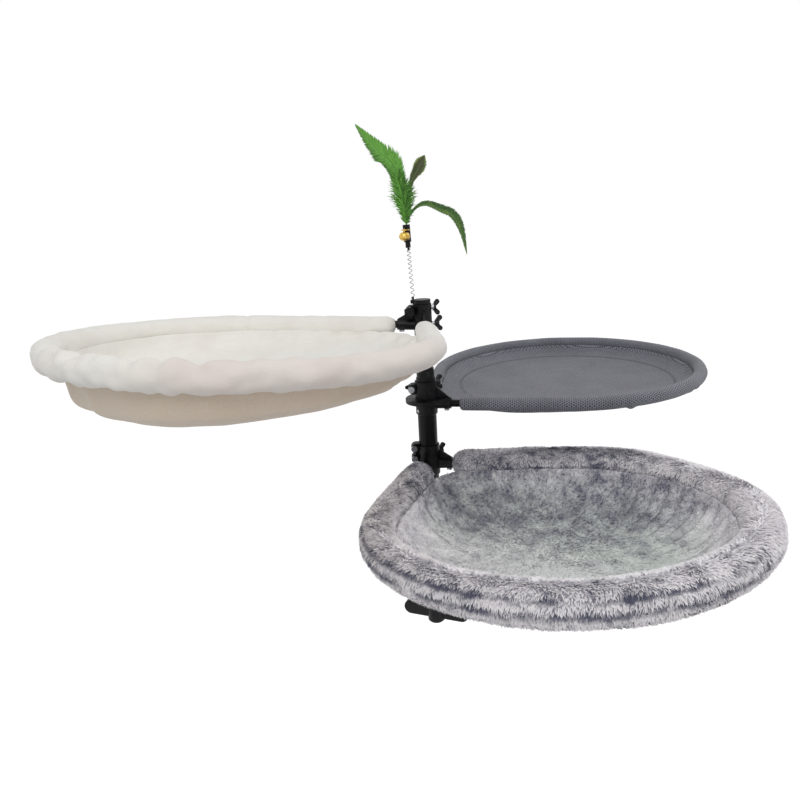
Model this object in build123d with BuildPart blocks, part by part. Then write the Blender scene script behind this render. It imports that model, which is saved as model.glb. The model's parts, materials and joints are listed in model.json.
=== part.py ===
from build123d import *
from dataclasses import dataclass
from math import asin, cos, pi, radians, sin, sqrt
import os

# Desk mounted cat hammock: three round beds that swivel on a clamped telescopic mast,
# with a feather toy on a spring at the top. Millimetres and degrees.
# The origin is on the mast's axis where the upper jaw rests on the desk, +Z is up
# and +Y runs in over the desk.

# Fits shared by the whole object
running_clearance = 0.1
fixed_clearance = 0.05
seat_gap = 0.3
overrun = 2.0

# Mast
lower_pole_diameter = 25.0
lower_pole_wall = 1.5
lower_pole_stand_off = 2.0
upper_pole_diameter = 19.0
upper_pole_wall = 1.2
upper_pole_length = 243.0
upper_pole_stand_off = 1.0
bush_depth = 26.0
bush_flange = 2.4
bush_neck_height = 13.0
bush_neck_wall = 2.0
lock_screw_rise = 7.0
lock_screw_azimuth = -131.0
lock_knob_radius = 5.6
plug_height = 6.0
plug_spigot = 12.0
cap_height = 4.7
cap_spigot = 9.0
cap_lip = 1.5

# Hoops, brackets and their fastenings
hoop_radius = 190.0
hoop_setback = 67.6
hoop_tube_diameter = 9.6
hoop_tube_wall = 1.4
hoop_tube_start = 19.0
socket_wall = 2.2
socket_end = 33.0
plate_thickness = 5.0
plate_lift = 3.0
rib_thickness = 3.0
ring_height = 11.0
ring_bevel = 1.2
ring_wall = 1.9
ear_reach = 9.0
ear_thickness = 4.0
ear_slit = 2.4
ear_height = 14.0
bolt_inset = 4.0
clamp_bolt_radius = 2.5
clamp_head_radius = 4.2
clamp_head_height = 3.2
clamp_nut_height = 4.0
screw_azimuth = 145.0
front_wing_azimuth = -35.0
side_wing_azimuth = -5.0
wing_shaft_radius = 2.5
wing_hub_radius = 4.4
wing_hub_length = 5.0
wing_root_radius = 2.4
wing_tip_radius = 3.1
wing_span = 20.0
wing_sweep = 4.0
wing_thickness = 3.6
hub_stand_off = 1.0
lever_reach = 6.0
lever_tip_radius = 1.9
boss_drop = 3.0
knob_height = 8.0
knob_lobes = 8
knob_lobe_radius = 1.6
clamp_knob_stand_off = 2.0
hoop_screw_radius = 1.5
hoop_screw_head_radius = 3.4
hoop_screw_head_height = 2.2
hoop_screw_place = 27.0
ring_screw_radius = 2.0

# Cloth
cloth_thickness = 3.0
bowl_seat_angle = 45.0
throat_reach = 42.0

# The hanging cloth from the rim down: depth, pull and size of the throat, strength of the folds,
# and where the folds lie along each side from the throat on
bowl_depth_shares = (0.0, 0.30, 0.62, 0.86, 0.97, 1.0)
throat_pull_shares = (1.0, 0.95, 0.75, 0.45, 0.20, 0.10)
throat_radius_shares = (1.0, 1.12, 1.33, 1.24, 1.0, 0.76)
fold_strength_shares = (0.0, 0.4, 1.0, 1.0, 0.8, 0.5)
fold_place_shares = (0.0, 0.2, 0.5, 1.0)

# White bed, the highest
white_facing = 188.4
white_height = 275.0
white_rise = 4.9
white_boss_wall = 2.4
white_boss_height = 27.0
white_plate_rear_radius = 13.5
white_ear_rise = 19.0
white_sleeve_radius = 16.0
white_bowl_depth = 40.0
white_bowl_tilt = 22.0
white_radius_shares = (1.0, 0.98, 0.93, 0.75, 0.60, 0.42)
white_fold_share = 0.0
white_knob_radius = 6.6
white_upper_wing_rise = 22.0
white_lower_wing_rise = 1.0
white_lower_wing_azimuth = -27.0
white_lower_stand_off = 4.0

# Grey bed, the middle one
grey_facing = -2.2
grey_height = 170.0
grey_rise = 0.7
grey_boss_height = 31.0
grey_plate_rear_radius = 27.5
grey_ear_rise = 21.0
grey_sleeve_radius = 9.0
grey_sleeve_start = 43.0
grey_sling_depth = 21.0
grey_sling_tilt = 0.0
grey_radius_shares = (1.0, 0.975, 0.90, 0.74, 0.56, 0.40)
grey_fold_share = 0.0
grey_wing_rise = 26.0

# Furry bed, the lowest
furry_facing = -96.4
furry_height = 85.0
furry_rise = 4.9
furry_boss_height = 28.0
furry_skirt_flare = 2.0
furry_plate_rear_radius = 16.5
furry_lower_ear_rise = 9.5
furry_upper_ear_rise = 24.0
furry_sleeve_radius = 20.0
furry_bowl_depth = 50.0
furry_bowl_tilt = 0.0
furry_radius_shares = (1.0, 0.93, 0.83, 0.66, 0.48, 0.31)
furry_fold_share = 0.14
furry_wing_rise = 15.0
furry_stand_off = 2.0
lower_boss_wall = 2.1

# Desk clamp
jaw_width = 60.0
jaw_plate = 6.0
jaw_pad_thickness = 3.0
jaw_reach = 62.0
arm_reach = 24.0
spine_setback = 48.0
spine_thickness = 8.0
spine_rib_depth = 10.0
spine_rib_thickness = 7.0
arm_thickness = 8.0
arm_top = -72.0
frame_corner = 5.0
jaw_pad_margin = 3.0
nut_boss_radius = 15.0
nut_boss_height = 14.0
socket_flange_radius = 29.0
socket_flange_thickness = 5.0
pole_socket_wall = 3.5
pole_socket_top = 45.0
pole_socket_gusset = 3.0
pole_socket_gusset_height = 18.0
flange_screw_circle = 47.0
flange_screw_count = 4
flange_screw_azimuth = 45.0
flange_screw_radius = 2.5
flange_screw_head_radius = 4.5
flange_screw_head_height = 3.0
set_screw_radius = 2.5
set_screw_height = 36.0
screw_radius = 7.0
screw_neck_radius = 4.4
foot_top = -38.0
foot_pad_thickness = 3.0
foot_plate_thickness = 5.0
foot_radius = 22.0
foot_hub_radius = 10.0
foot_hub_height = 7.0
neck_depth = 9.0
handle_height = 30.0
handle_middle = -141.0
handle_hub_radius = 12.0
handle_span = 97.0
handle_paddle_radius = 10.5
handle_waist_radius = 6.5
handle_thickness = 9.0
handle_azimuth = -58.0
handle_edge = 2.0
handle_pin_radius = 2.0

# Feather toy
toy_azimuth = 145.0
toy_facing = -125.0
toy_offset = 10.9
toy_lean = 2.5
toy_lug_radius = 3.7
spring_turns = 11
spring_radius = 2.2
spring_wire_radius = 0.45
spring_length = 63.6
spring_pitch_growth_share = 0.36
spring_peg_radius = 1.3
spring_peg_height = 4.0
ferrule_neck_radius = 3.2
ferrule_neck_height = 7.0
ferrule_radius = 4.6
ferrule_height = 21.0
ferrule_wall = 0.8
bell_azimuth = -141.0
bell_radius = 6.5
bell_half_height = 5.2
bell_corner = 4.6
bell_wall = 0.7
bell_band_height = 1.2
bell_band_reach = 0.6
bell_slot = 1.4
bell_loop_radius = 4.8
bell_loop_reach = 11.9
bell_loop_wire_radius = 0.6
bell_loop_rise = 15.0
bell_eye_radius = 1.9
bell_eye_wire_radius = 0.55
pellet_radius = 2.0
feather_thickness = 0.9
feather_spacing = 1.2
quill_width = 1.5
quill_depth = 5.0
plume_height = 70.0
plume_width = 43.0
plume_thickness = 7.0
long_feather_length = 136.0
long_feather_width = 27.0
leaf_feather_length = 92.0
leaf_feather_width = 16.0
drooping_feather_length = 90.0
drooping_feather_width = 12.0

# Feather spines from the quill's foot, across and up, and the vane's half width along them
long_spine_shares = ((0.0, 0.0), (-0.02, 0.26), (-0.085, 0.515), (-0.214, 0.65), (-0.40, 0.875))
long_vane_shares = (0.06, 0.55, 0.95, 0.70, 0.0)
leaf_spine_shares = ((0.0, 0.0), (0.04, 0.25), (0.093, 0.53), (0.19, 0.70), (0.285, 0.865))
leaf_vane_shares = (0.05, 0.09, 0.30, 0.95, 0.0)
drooping_spine_shares = ((0.0, 0.0), (0.11, 0.19), (0.267, 0.267), (0.47, 0.20), (0.648, 0.10),
                         (0.757, -0.093), (0.824, -0.449))
drooping_vane_shares = (0.10, 0.30, 0.60, 0.90, 0.95, 0.70, 0.0)
plume_height_shares = (0.0, 0.16, 0.42, 0.72, 1.0)
plume_width_shares = (0.16, 0.62, 1.0, 0.66, 0.12)
plume_shift_shares = (0.0, -0.01, -0.04, -0.10, -0.20)
plume_thickness_shares = (0.50, 0.77, 1.0, 0.80, 0.47)


lower_pole_top = grey_height + grey_boss_height + lower_pole_stand_off
upper_pole_top = white_height + white_boss_height + upper_pole_stand_off
upper_pole_foot = upper_pole_top - upper_pole_length
hoop_centre = hoop_radius + hoop_setback
half_angle = asin(hoop_radius / hoop_centre)
arm_length = sqrt(hoop_centre**2 - hoop_radius**2)
socket_radius = hoop_tube_diameter / 2 + socket_wall
covered_arm_start = socket_end + seat_gap


@dataclass
class WingScrew:
    """A wing screw: its node, direction, height over the hoop's apex and the head's stand-off."""

    name: str
    azimuth: float
    rise: float
    stand_off: float


@dataclass
class Tier:
    """One bed and the bracket that carries it."""

    name: str
    facing: float
    height: float
    rise: float
    pole_diameter: float
    boss_wall: float
    boss_top: float
    skirt_flare: float
    plate_rear_radius: float
    ear_rises: tuple
    sleeve_radius: float
    sleeve_start: float
    bowl_depth: float
    bowl_tilt: float
    radius_shares: tuple
    fold_share: float
    wing_screws: tuple

    @property
    def boss_radius(self):
        return self.pole_diameter / 2 + self.boss_wall

    @property
    def boss_foot(self):
        return self.height - boss_drop


white = Tier(
    name="white",
    facing=white_facing,
    height=white_height,
    rise=white_rise,
    pole_diameter=upper_pole_diameter,
    boss_wall=white_boss_wall,
    boss_top=white_boss_height,
    skirt_flare=0,
    plate_rear_radius=white_plate_rear_radius,
    ear_rises=(white_ear_rise,),
    sleeve_radius=white_sleeve_radius,
    sleeve_start=covered_arm_start,
    bowl_depth=white_bowl_depth,
    bowl_tilt=white_bowl_tilt,
    radius_shares=white_radius_shares,
    fold_share=white_fold_share,
    wing_screws=(
        WingScrew("white_upper_wing_screw", front_wing_azimuth, white_upper_wing_rise, hub_stand_off),
        WingScrew("white_lower_wing_screw", white_lower_wing_azimuth, white_lower_wing_rise,
                  white_lower_stand_off),
    ),
)
grey = Tier(
    name="grey",
    facing=grey_facing,
    height=grey_height,
    rise=grey_rise,
    pole_diameter=lower_pole_diameter,
    boss_wall=lower_boss_wall,
    boss_top=grey_boss_height,
    skirt_flare=0,
    plate_rear_radius=grey_plate_rear_radius,
    ear_rises=(grey_ear_rise,),
    sleeve_radius=grey_sleeve_radius,
    sleeve_start=grey_sleeve_start,
    bowl_depth=grey_sling_depth,
    bowl_tilt=grey_sling_tilt,
    radius_shares=grey_radius_shares,
    fold_share=grey_fold_share,
    wing_screws=(WingScrew("grey_wing_screw", side_wing_azimuth, grey_wing_rise, hub_stand_off),),
)
furry = Tier(
    name="furry",
    facing=furry_facing,
    height=furry_height,
    rise=furry_rise,
    pole_diameter=lower_pole_diameter,
    boss_wall=lower_boss_wall,
    boss_top=furry_boss_height,
    skirt_flare=furry_skirt_flare,
    plate_rear_radius=furry_plate_rear_radius,
    ear_rises=(furry_lower_ear_rise, furry_upper_ear_rise),
    sleeve_radius=furry_sleeve_radius,
    sleeve_start=covered_arm_start,
    bowl_depth=furry_bowl_depth,
    bowl_tilt=furry_bowl_tilt,
    radius_shares=furry_radius_shares,
    fold_share=furry_fold_share,
    wing_screws=(WingScrew("furry_wing_screw", side_wing_azimuth, furry_wing_rise, furry_stand_off),),
)

os.makedirs("parts", exist_ok=True)


def save(part, name):
    """Label a finished piece and write it under its node's name."""
    part.label = name
    export_step(part, f"parts/{name}.step")


def heading(azimuth):
    """The level unit vector that points along an azimuth."""
    return Vector(cos(radians(azimuth)), sin(radians(azimuth)), 0)


def radial_plane(azimuth, height, distance=0.0):
    """An upright plane that faces out along the azimuth, its x pointing up."""
    return Plane(origin=heading(azimuth) * distance + Vector(0, 0, height), x_dir=(0, 0, 1),
                 z_dir=heading(azimuth))


def side_plane(azimuth, height):
    """An upright plane through the mast's axis, its x along the azimuth and its y up."""
    return Plane(origin=(0, 0, height), x_dir=heading(azimuth), z_dir=heading(azimuth - 90))


def hoop_plane(tier):
    """The plane of a tier's hoop, its origin on the mast and its x along the bed."""
    rise = radians(tier.rise)
    out = heading(tier.facing)
    up = Vector(0, 0, 1)
    return Plane(origin=(0, 0, tier.height), x_dir=out * cos(rise) + up * sin(rise),
                 z_dir=up * cos(rise) - out * sin(rise))


def arm_place(side, distance):
    """The place on a hoop's arm at a distance from the mast's axis, in the hoop's plane."""
    return (distance * cos(half_angle), side * distance * sin(half_angle))


def arm_plane(tier, side, distance):
    """The plane across a hoop's arm, at a distance from the mast's axis along the arm."""
    hoop = hoop_plane(tier)
    along = Vector(cos(half_angle), side * sin(half_angle), 0)
    start = hoop.from_local_coords(along * distance)
    end = hoop.from_local_coords(along * (distance + 1))
    return Plane(origin=start, x_dir=hoop.z_dir, z_dir=end - start)


# Desk clamp


def make_clamp_frame():
    """A C of thick plate: upper jaw, spine with a rib, lower arm with the nut boss."""
    plate_top = jaw_pad_thickness + jaw_plate
    arm_bottom = arm_top - arm_thickness
    with BuildPart() as frame:
        with BuildSketch(Plane.YZ) as outline:
            with BuildLine():
                Polyline(
                    (-spine_setback, plate_top),
                    (jaw_reach, plate_top),
                    (jaw_reach, jaw_pad_thickness),
                    (spine_thickness - spine_setback, jaw_pad_thickness),
                    (spine_thickness - spine_setback, arm_top),
                    (arm_reach, arm_top),
                    (arm_reach, arm_bottom),
                    (-spine_setback, arm_bottom),
                    close=True,
                )
            make_face()
            fillet(outline.vertices().group_by(Axis.X)[0].group_by(Axis.Y)[0], frame_corner)
        extrude(amount=jaw_width / 2, both=True)
        with BuildSketch(Plane.YZ):
            with BuildLine():
                Polyline(
                    (-spine_setback, plate_top - frame_corner),
                    (-spine_setback, arm_bottom + frame_corner),
                    (-spine_setback - spine_rib_depth, arm_bottom + frame_corner + spine_rib_depth),
                    (-spine_setback - spine_rib_depth, plate_top - frame_corner - spine_rib_depth),
                    close=True,
                )
            make_face()
        extrude(amount=spine_rib_thickness / 2, both=True)
        with BuildSketch(Plane.XY.offset(arm_bottom - overrun)):
            with Locations((0, (jaw_reach - spine_setback - spine_rib_depth) / 2)):
                RectangleRounded(jaw_width, jaw_reach + spine_setback + spine_rib_depth, 3 * frame_corner)
        extrude(amount=plate_top - arm_bottom + 2 * overrun, mode=Mode.INTERSECT)
        with BuildSketch(Plane.XY.offset(arm_top)):
            Circle(nut_boss_radius)
        extrude(amount=-arm_thickness - nut_boss_height)
        with BuildSketch(Plane.XY.offset(arm_top)):
            Circle(screw_radius + running_clearance)
        extrude(amount=-arm_thickness - nut_boss_height, mode=Mode.SUBTRACT)
        with BuildSketch(Plane.XY.offset(plate_top)):
            with PolarLocations(flange_screw_circle / 2, flange_screw_count,
                                start_angle=flange_screw_azimuth):
                Circle(flange_screw_radius + running_clearance)
        extrude(amount=-jaw_plate, mode=Mode.SUBTRACT)
    save(frame.part, "clamp_frame")


def make_jaw_pad():
    """The rubber pad that the upper jaw rests on the desk with."""
    length = jaw_reach + spine_setback - spine_thickness - 2 * jaw_pad_margin
    middle = (jaw_reach + spine_thickness - spine_setback) / 2
    with BuildPart() as pad:
        with BuildSketch(Plane.XY):
            with Locations((0, middle)):
                RectangleRounded(jaw_width - 2 * jaw_pad_margin, length, 2 * frame_corner)
        extrude(amount=jaw_pad_thickness)
    save(pad.part, "jaw_pad")


def make_pole_socket():
    """The flanged socket that holds the lower pole, bolted on the upper jaw."""
    plate_top = jaw_pad_thickness + jaw_plate
    flange_top = plate_top + socket_flange_thickness
    outer = lower_pole_diameter / 2 + pole_socket_wall
    with BuildPart() as socket:
        with BuildSketch(Plane.XY.offset(plate_top)):
            Circle(socket_flange_radius)
        extrude(amount=socket_flange_thickness)
        with BuildSketch(Plane.XY.offset(plate_top)):
            Circle(outer)
        extrude(amount=pole_socket_top - plate_top)
        for turn in range(flange_screw_count):
            with BuildSketch(side_plane(turn * 360 / flange_screw_count, flange_top)):
                with BuildLine():
                    Polyline(
                        (outer - pole_socket_wall / 2, 0),
                        (socket_flange_radius - overrun, 0),
                        (outer, pole_socket_gusset_height),
                        (outer - pole_socket_wall / 2, pole_socket_gusset_height),
                        close=True,
                    )
                make_face()
            extrude(amount=pole_socket_gusset / 2, both=True)
        with BuildSketch(Plane.XY.offset(plate_top)):
            Circle(lower_pole_diameter / 2 + fixed_clearance)
        extrude(amount=pole_socket_top - plate_top, mode=Mode.SUBTRACT)
        with BuildSketch(Plane.XY.offset(flange_top)):
            with PolarLocations(flange_screw_circle / 2, flange_screw_count,
                                start_angle=flange_screw_azimuth):
                Circle(flange_screw_radius + running_clearance)
        extrude(amount=-socket_flange_thickness, mode=Mode.SUBTRACT)
        for azimuth in (flange_screw_azimuth, flange_screw_azimuth + 180):
            with BuildSketch(radial_plane(azimuth, set_screw_height)):
                Circle(set_screw_radius + fixed_clearance)
            extrude(amount=outer + overrun, mode=Mode.SUBTRACT)
        rim = socket.edges().filter_by(GeomType.CIRCLE).group_by(Axis.Z)[-1].sort_by(SortBy.RADIUS)[-1]
        chamfer(rim, pole_socket_wall / 3)
    save(socket.part, "pole_socket")


def make_clamp_fasteners():
    """Four screws through the socket's flange, and two that lock the pole in the socket."""
    plate_top = jaw_pad_thickness + jaw_plate
    flange_top = plate_top + socket_flange_thickness
    with BuildPart() as screws:
        with BuildSketch(Plane.XY.offset(flange_top)):
            with PolarLocations(flange_screw_circle / 2, flange_screw_count,
                                start_angle=flange_screw_azimuth):
                Circle(flange_screw_head_radius)
        extrude(amount=flange_screw_head_height)
        with BuildSketch(Plane.XY.offset(flange_top)):
            with PolarLocations(flange_screw_circle / 2, flange_screw_count,
                                start_angle=flange_screw_azimuth):
                Circle(flange_screw_radius)
        extrude(amount=-socket_flange_thickness - jaw_plate + seat_gap)
        tops = screws.edges().filter_by(GeomType.CIRCLE).group_by(Axis.Z)[-1]
        fillet(tops, flange_screw_head_height / 3)
    save(screws.part, "flange_screws")
    inner = lower_pole_diameter / 2 + seat_gap
    with BuildPart() as set_screws:
        for azimuth in (flange_screw_azimuth, flange_screw_azimuth + 180):
            with BuildSketch(radial_plane(azimuth, set_screw_height, inner)):
                Circle(set_screw_radius)
            extrude(amount=pole_socket_wall)
    save(set_screws.part, "socket_set_screws")


def make_clamp_screw():
    """The clamp screw, its neck in the pressure foot and a cross hole for the handle's pin."""
    hub_bottom = foot_top - foot_pad_thickness - foot_plate_thickness - foot_hub_height
    shoulder = hub_bottom - running_clearance
    bottom = handle_middle - handle_height / 2
    with BuildPart() as screw:
        with BuildSketch(Plane.XY.offset(bottom)):
            Circle(screw_radius)
        extrude(amount=shoulder - bottom)
        with BuildSketch(Plane.XY.offset(shoulder)):
            Circle(screw_neck_radius)
        extrude(amount=neck_depth)
        with BuildSketch(radial_plane(handle_azimuth + 90, handle_middle)):
            Circle(handle_pin_radius + fixed_clearance)
        extrude(amount=handle_hub_radius, both=True, mode=Mode.SUBTRACT)
    save(screw.part, "clamp_screw")


def make_pressure_foot():
    """The disc that the screw presses up under the desk, and its rubber pad."""
    plate_top = foot_top - foot_pad_thickness
    with BuildPart() as foot:
        with BuildSketch(Plane.XY.offset(plate_top)):
            Circle(foot_radius)
        extrude(amount=-foot_plate_thickness)
        with BuildSketch(Plane.XY.offset(plate_top - foot_plate_thickness)):
            Circle(foot_hub_radius)
        extrude(amount=-foot_hub_height)
        with BuildSketch(Plane.XY.offset(plate_top - foot_plate_thickness - foot_hub_height)):
            Circle(screw_neck_radius + running_clearance)
        extrude(amount=neck_depth + running_clearance, mode=Mode.SUBTRACT)
        rim = foot.edges().filter_by(GeomType.CIRCLE).sort_by(SortBy.RADIUS)[-2:].sort_by(Axis.Z)[0]
        chamfer(rim, foot_plate_thickness / 2)
    save(foot.part, "pressure_foot")
    with BuildPart() as pad:
        with BuildSketch(Plane.XY.offset(plate_top)):
            Circle(foot_radius)
        extrude(amount=foot_pad_thickness)
    save(pad.part, "foot_pad")


def make_wing_handle():
    """The two-winged handle on the screw's lower end, and the pin that holds it."""
    paddle = handle_span / 2 - handle_paddle_radius
    with BuildPart() as handle:
        with BuildSketch(side_plane(handle_azimuth, handle_middle)):
            for side in (1, -1):
                with Locations((side * paddle, 0)):
                    Circle(handle_paddle_radius)
                with Locations((side * handle_hub_radius, 0)):
                    Circle(handle_waist_radius)
            make_hull()
        extrude(amount=handle_thickness / 2, both=True)
        fillet(handle.edges().filter_by(GeomType.CIRCLE), handle_edge)
        with BuildSketch(Plane.XY.offset(handle_middle - handle_height / 2)):
            Circle(handle_hub_radius)
        extrude(amount=handle_height)
        ends = handle.edges().filter_by(GeomType.CIRCLE).filter_by(
            lambda edge: abs(edge.radius - handle_hub_radius) < fixed_clearance)
        chamfer(ends.group_by(Axis.Z)[-1] + ends.group_by(Axis.Z)[0], handle_edge)
        with BuildSketch(Plane.XY.offset(handle_middle - handle_height / 2)):
            Circle(screw_radius + fixed_clearance)
        extrude(amount=handle_height, mode=Mode.SUBTRACT)
        with BuildSketch(radial_plane(handle_azimuth + 90, handle_middle)):
            Circle(handle_pin_radius + fixed_clearance)
        extrude(amount=handle_hub_radius + overrun, both=True, mode=Mode.SUBTRACT)
    save(handle.part, "wing_handle")
    with BuildPart() as pin:
        with BuildSketch(radial_plane(handle_azimuth + 90, handle_middle)):
            Circle(handle_pin_radius)
        extrude(amount=handle_hub_radius - seat_gap, both=True)
    save(pin.part, "handle_pin")


# Mast


def make_poles():
    """The fixed lower pole and the upper pole that slides in it."""
    plate_top = jaw_pad_thickness + jaw_plate
    with BuildPart() as lower:
        with BuildSketch(Plane.XY.offset(plate_top)):
            Circle(lower_pole_diameter / 2)
            Circle(lower_pole_diameter / 2 - lower_pole_wall, mode=Mode.SUBTRACT)
        extrude(amount=lower_pole_top - plate_top)
    save(lower.part, "lower_pole")
    with BuildPart() as upper:
        with BuildSketch(Plane.XY.offset(upper_pole_foot)):
            Circle(upper_pole_diameter / 2)
            Circle(upper_pole_diameter / 2 - upper_pole_wall, mode=Mode.SUBTRACT)
        extrude(amount=upper_pole_length)
    save(upper.part, "upper_pole")


def make_guide_bush():
    """The bush in the lower pole's mouth that guides the upper pole and takes the lock knob."""
    bore = upper_pole_diameter / 2 + running_clearance
    neck = upper_pole_diameter / 2 + bush_neck_wall
    inner = lower_pole_diameter / 2 - lower_pole_wall - fixed_clearance
    flange_top = lower_pole_top + bush_flange
    with BuildPart() as bush:
        with BuildSketch(Plane.XY.offset(lower_pole_top)):
            Circle(lower_pole_diameter / 2)
        extrude(amount=bush_flange)
        with BuildSketch(Plane.XY.offset(lower_pole_top)):
            Circle(inner)
        extrude(amount=-bush_depth)
        with BuildSketch(Plane.XY.offset(flange_top)):
            Circle(neck)
        extrude(amount=bush_neck_height)
        with BuildSketch(Plane.XY.offset(lower_pole_top - bush_depth)):
            Circle(bore)
        extrude(amount=bush_depth + bush_flange + bush_neck_height, mode=Mode.SUBTRACT)
        with BuildSketch(radial_plane(lock_screw_azimuth, flange_top + lock_screw_rise)):
            Circle(wing_shaft_radius + running_clearance)
        extrude(amount=neck + overrun, mode=Mode.SUBTRACT)
    save(bush.part, "guide_bush")
    make_knob("mast_lock_knob", radial_plane(lock_screw_azimuth, flange_top + lock_screw_rise),
              upper_pole_diameter / 2 + seat_gap, neck + seat_gap, lock_knob_radius)


def make_knob(name, axis_plane, shaft_start, head_start, radius):
    """A lobed knob on a short screw, along the plane's z."""
    with BuildPart() as knob:
        with BuildSketch(axis_plane.offset(shaft_start)):
            Circle(wing_shaft_radius)
        extrude(amount=head_start - shaft_start + knob_height / 2)
        with BuildSketch(axis_plane.offset(head_start)):
            Circle(radius)
            with PolarLocations(radius + knob_lobe_radius / 2, knob_lobes):
                Circle(knob_lobe_radius, mode=Mode.SUBTRACT)
        extrude(amount=knob_height)
    save(knob.part, name)


def make_pole_ends():
    """The plug that guides the upper pole's foot, and the top cap with the toy's lug."""
    inner = upper_pole_diameter / 2 - upper_pole_wall - fixed_clearance
    with BuildPart() as plug:
        with BuildSketch(Plane.XY.offset(upper_pole_foot)):
            Circle(lower_pole_diameter / 2 - lower_pole_wall - running_clearance)
        extrude(amount=-plug_height)
        with BuildSketch(Plane.XY.offset(upper_pole_foot)):
            Circle(inner)
        extrude(amount=plug_spigot)
    save(plug.part, "upper_pole_plug")
    cap_bottom = upper_pole_top
    with BuildPart() as cap:
        with BuildSketch(Plane.XY.offset(cap_bottom)):
            Circle(upper_pole_diameter / 2 + cap_lip)
            with Locations(heading(toy_azimuth) * toy_offset):
                Circle(toy_lug_radius)
        extrude(amount=cap_height)
        edges = cap.edges().group_by(Axis.Z)[-1]
        fillet(edges, cap_lip / 2)
        with BuildSketch(Plane.XY.offset(cap_bottom)):
            Circle(inner)
        extrude(amount=-cap_spigot)
        with BuildSketch(toy_plane):
            Circle(spring_peg_radius)
        extrude(amount=spring_peg_height)
        with BuildSketch(toy_plane):
            Circle(spring_peg_radius)
        extrude(amount=-cap_height / 2)
    save(cap.part, "top_cap")


# Brackets


def make_bracket(tier):
    """Boss round the pole, plate over two arm sockets, ribs, and split ears with their bolt hole."""
    hoop = hoop_plane(tier)
    boss_height = tier.boss_top + boss_drop
    slit_foot = tier.ear_rises[0] - ear_height / 2 - overrun
    with BuildPart() as bracket:
        with BuildSketch(hoop.offset(plate_lift)):
            Circle(tier.plate_rear_radius)
            for side in (1, -1):
                with Locations(arm_place(side, socket_end - socket_wall)):
                    Circle(socket_wall)
            make_hull()
        extrude(amount=plate_thickness)
        for side in (1, -1):
            with BuildSketch(arm_plane(tier, side, tier.boss_radius - socket_wall)):
                Circle(socket_radius)
            extrude(amount=socket_end - tier.boss_radius + socket_wall)
            rib_plane = Plane(origin=hoop.origin, x_dir=arm_plane(tier, side, 0).z_dir,
                              z_dir=hoop.z_dir.cross(arm_plane(tier, side, 0).z_dir))
            rib_root = tier.boss_radius - socket_wall / 2
            with BuildSketch(rib_plane):
                with BuildLine():
                    Polyline((rib_root, 0), (socket_end, 0), (socket_end, -socket_radius),
                             (rib_root, socket_radius - tier.boss_top), close=True)
                make_face()
            extrude(amount=rib_thickness / 2, both=True)
        with BuildSketch(Plane.XY.offset(tier.boss_foot)):
            Circle(tier.pole_diameter / 2 + ring_wall + seat_gap)
        extrude(amount=-2 * socket_radius, mode=Mode.SUBTRACT)
        with BuildSketch(Plane.XY.offset(tier.boss_foot)):
            Circle(tier.boss_radius)
        extrude(amount=boss_height)
        if tier.skirt_flare:
            with BuildSketch(Plane.XY.offset(tier.boss_foot)):
                Circle(tier.boss_radius + tier.skirt_flare)
            with BuildSketch(Plane.XY.offset(tier.boss_foot + boss_height / 2)):
                Circle(tier.boss_radius)
            loft()
        for ear_rise in tier.ear_rises:
            with BuildSketch(side_plane(screw_azimuth, tier.height + ear_rise)):
                with Locations((tier.boss_radius + ear_reach - ear_height / 2, 0)):
                    Circle(ear_height / 2)
                with Locations((tier.boss_radius / 2, 0)):
                    Circle(ear_height / 2)
                make_hull()
            extrude(amount=ear_thickness + ear_slit / 2, both=True)
        for side in (1, -1):
            with BuildSketch(arm_plane(tier, side, hoop_tube_start)):
                Circle(hoop_tube_diameter / 2 + fixed_clearance)
            extrude(amount=socket_end, mode=Mode.SUBTRACT)
            with BuildSketch(hoop.offset(-socket_radius - overrun)):
                with Locations(arm_place(side, hoop_screw_place)):
                    Circle(hoop_screw_radius + fixed_clearance)
            extrude(amount=socket_radius + overrun, mode=Mode.SUBTRACT)
        with BuildSketch(Plane.XY.offset(tier.boss_foot - socket_radius)):
            Circle(tier.pole_diameter / 2 + running_clearance)
        extrude(amount=boss_height + 2 * socket_radius, mode=Mode.SUBTRACT)
        with BuildSketch(side_plane(screw_azimuth, tier.height + slit_foot)):
            Rectangle(tier.boss_radius + ear_reach + overrun, tier.boss_top - slit_foot + overrun,
                      align=(Align.MIN, Align.MIN))
        extrude(amount=ear_slit / 2, both=True, mode=Mode.SUBTRACT)
        for ear_rise in tier.ear_rises:
            with BuildSketch(bolt_plane(tier, ear_rise)):
                Circle(clamp_bolt_radius + running_clearance)
            extrude(amount=ear_thickness + ear_slit + overrun, both=True, mode=Mode.SUBTRACT)
        for screw in tier.wing_screws:
            with BuildSketch(radial_plane(screw.azimuth, tier.height + screw.rise)):
                Circle(wing_shaft_radius + running_clearance)
            extrude(amount=tier.boss_radius + ear_reach, mode=Mode.SUBTRACT)
    save(bracket.part, f"{tier.name}_bracket")


def bolt_plane(tier, ear_rise):
    """The plane across the clamp bolt, halfway through the ears, its z towards the bolt's head."""
    reach = tier.boss_radius + ear_reach - bolt_inset
    place = heading(screw_azimuth) * reach + Vector(0, 0, tier.height + ear_rise)
    return Plane(origin=place, x_dir=(0, 0, 1), z_dir=heading(screw_azimuth + 90))


def make_clamp_bolts(tier, name):
    """Round-headed bolts through the ears, with a slotted head."""
    ears = ear_thickness + ear_slit / 2
    with BuildPart() as bolts:
        for ear_rise in tier.ear_rises:
            plane = bolt_plane(tier, ear_rise)
            with BuildSketch(plane.offset(ears)):
                Circle(clamp_head_radius)
            extrude(amount=clamp_head_height)
            with BuildSketch(plane.offset(ears)):
                Circle(clamp_bolt_radius)
            extrude(amount=-2 * ears - clamp_nut_height)
    save(bolts.part, name)


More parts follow.
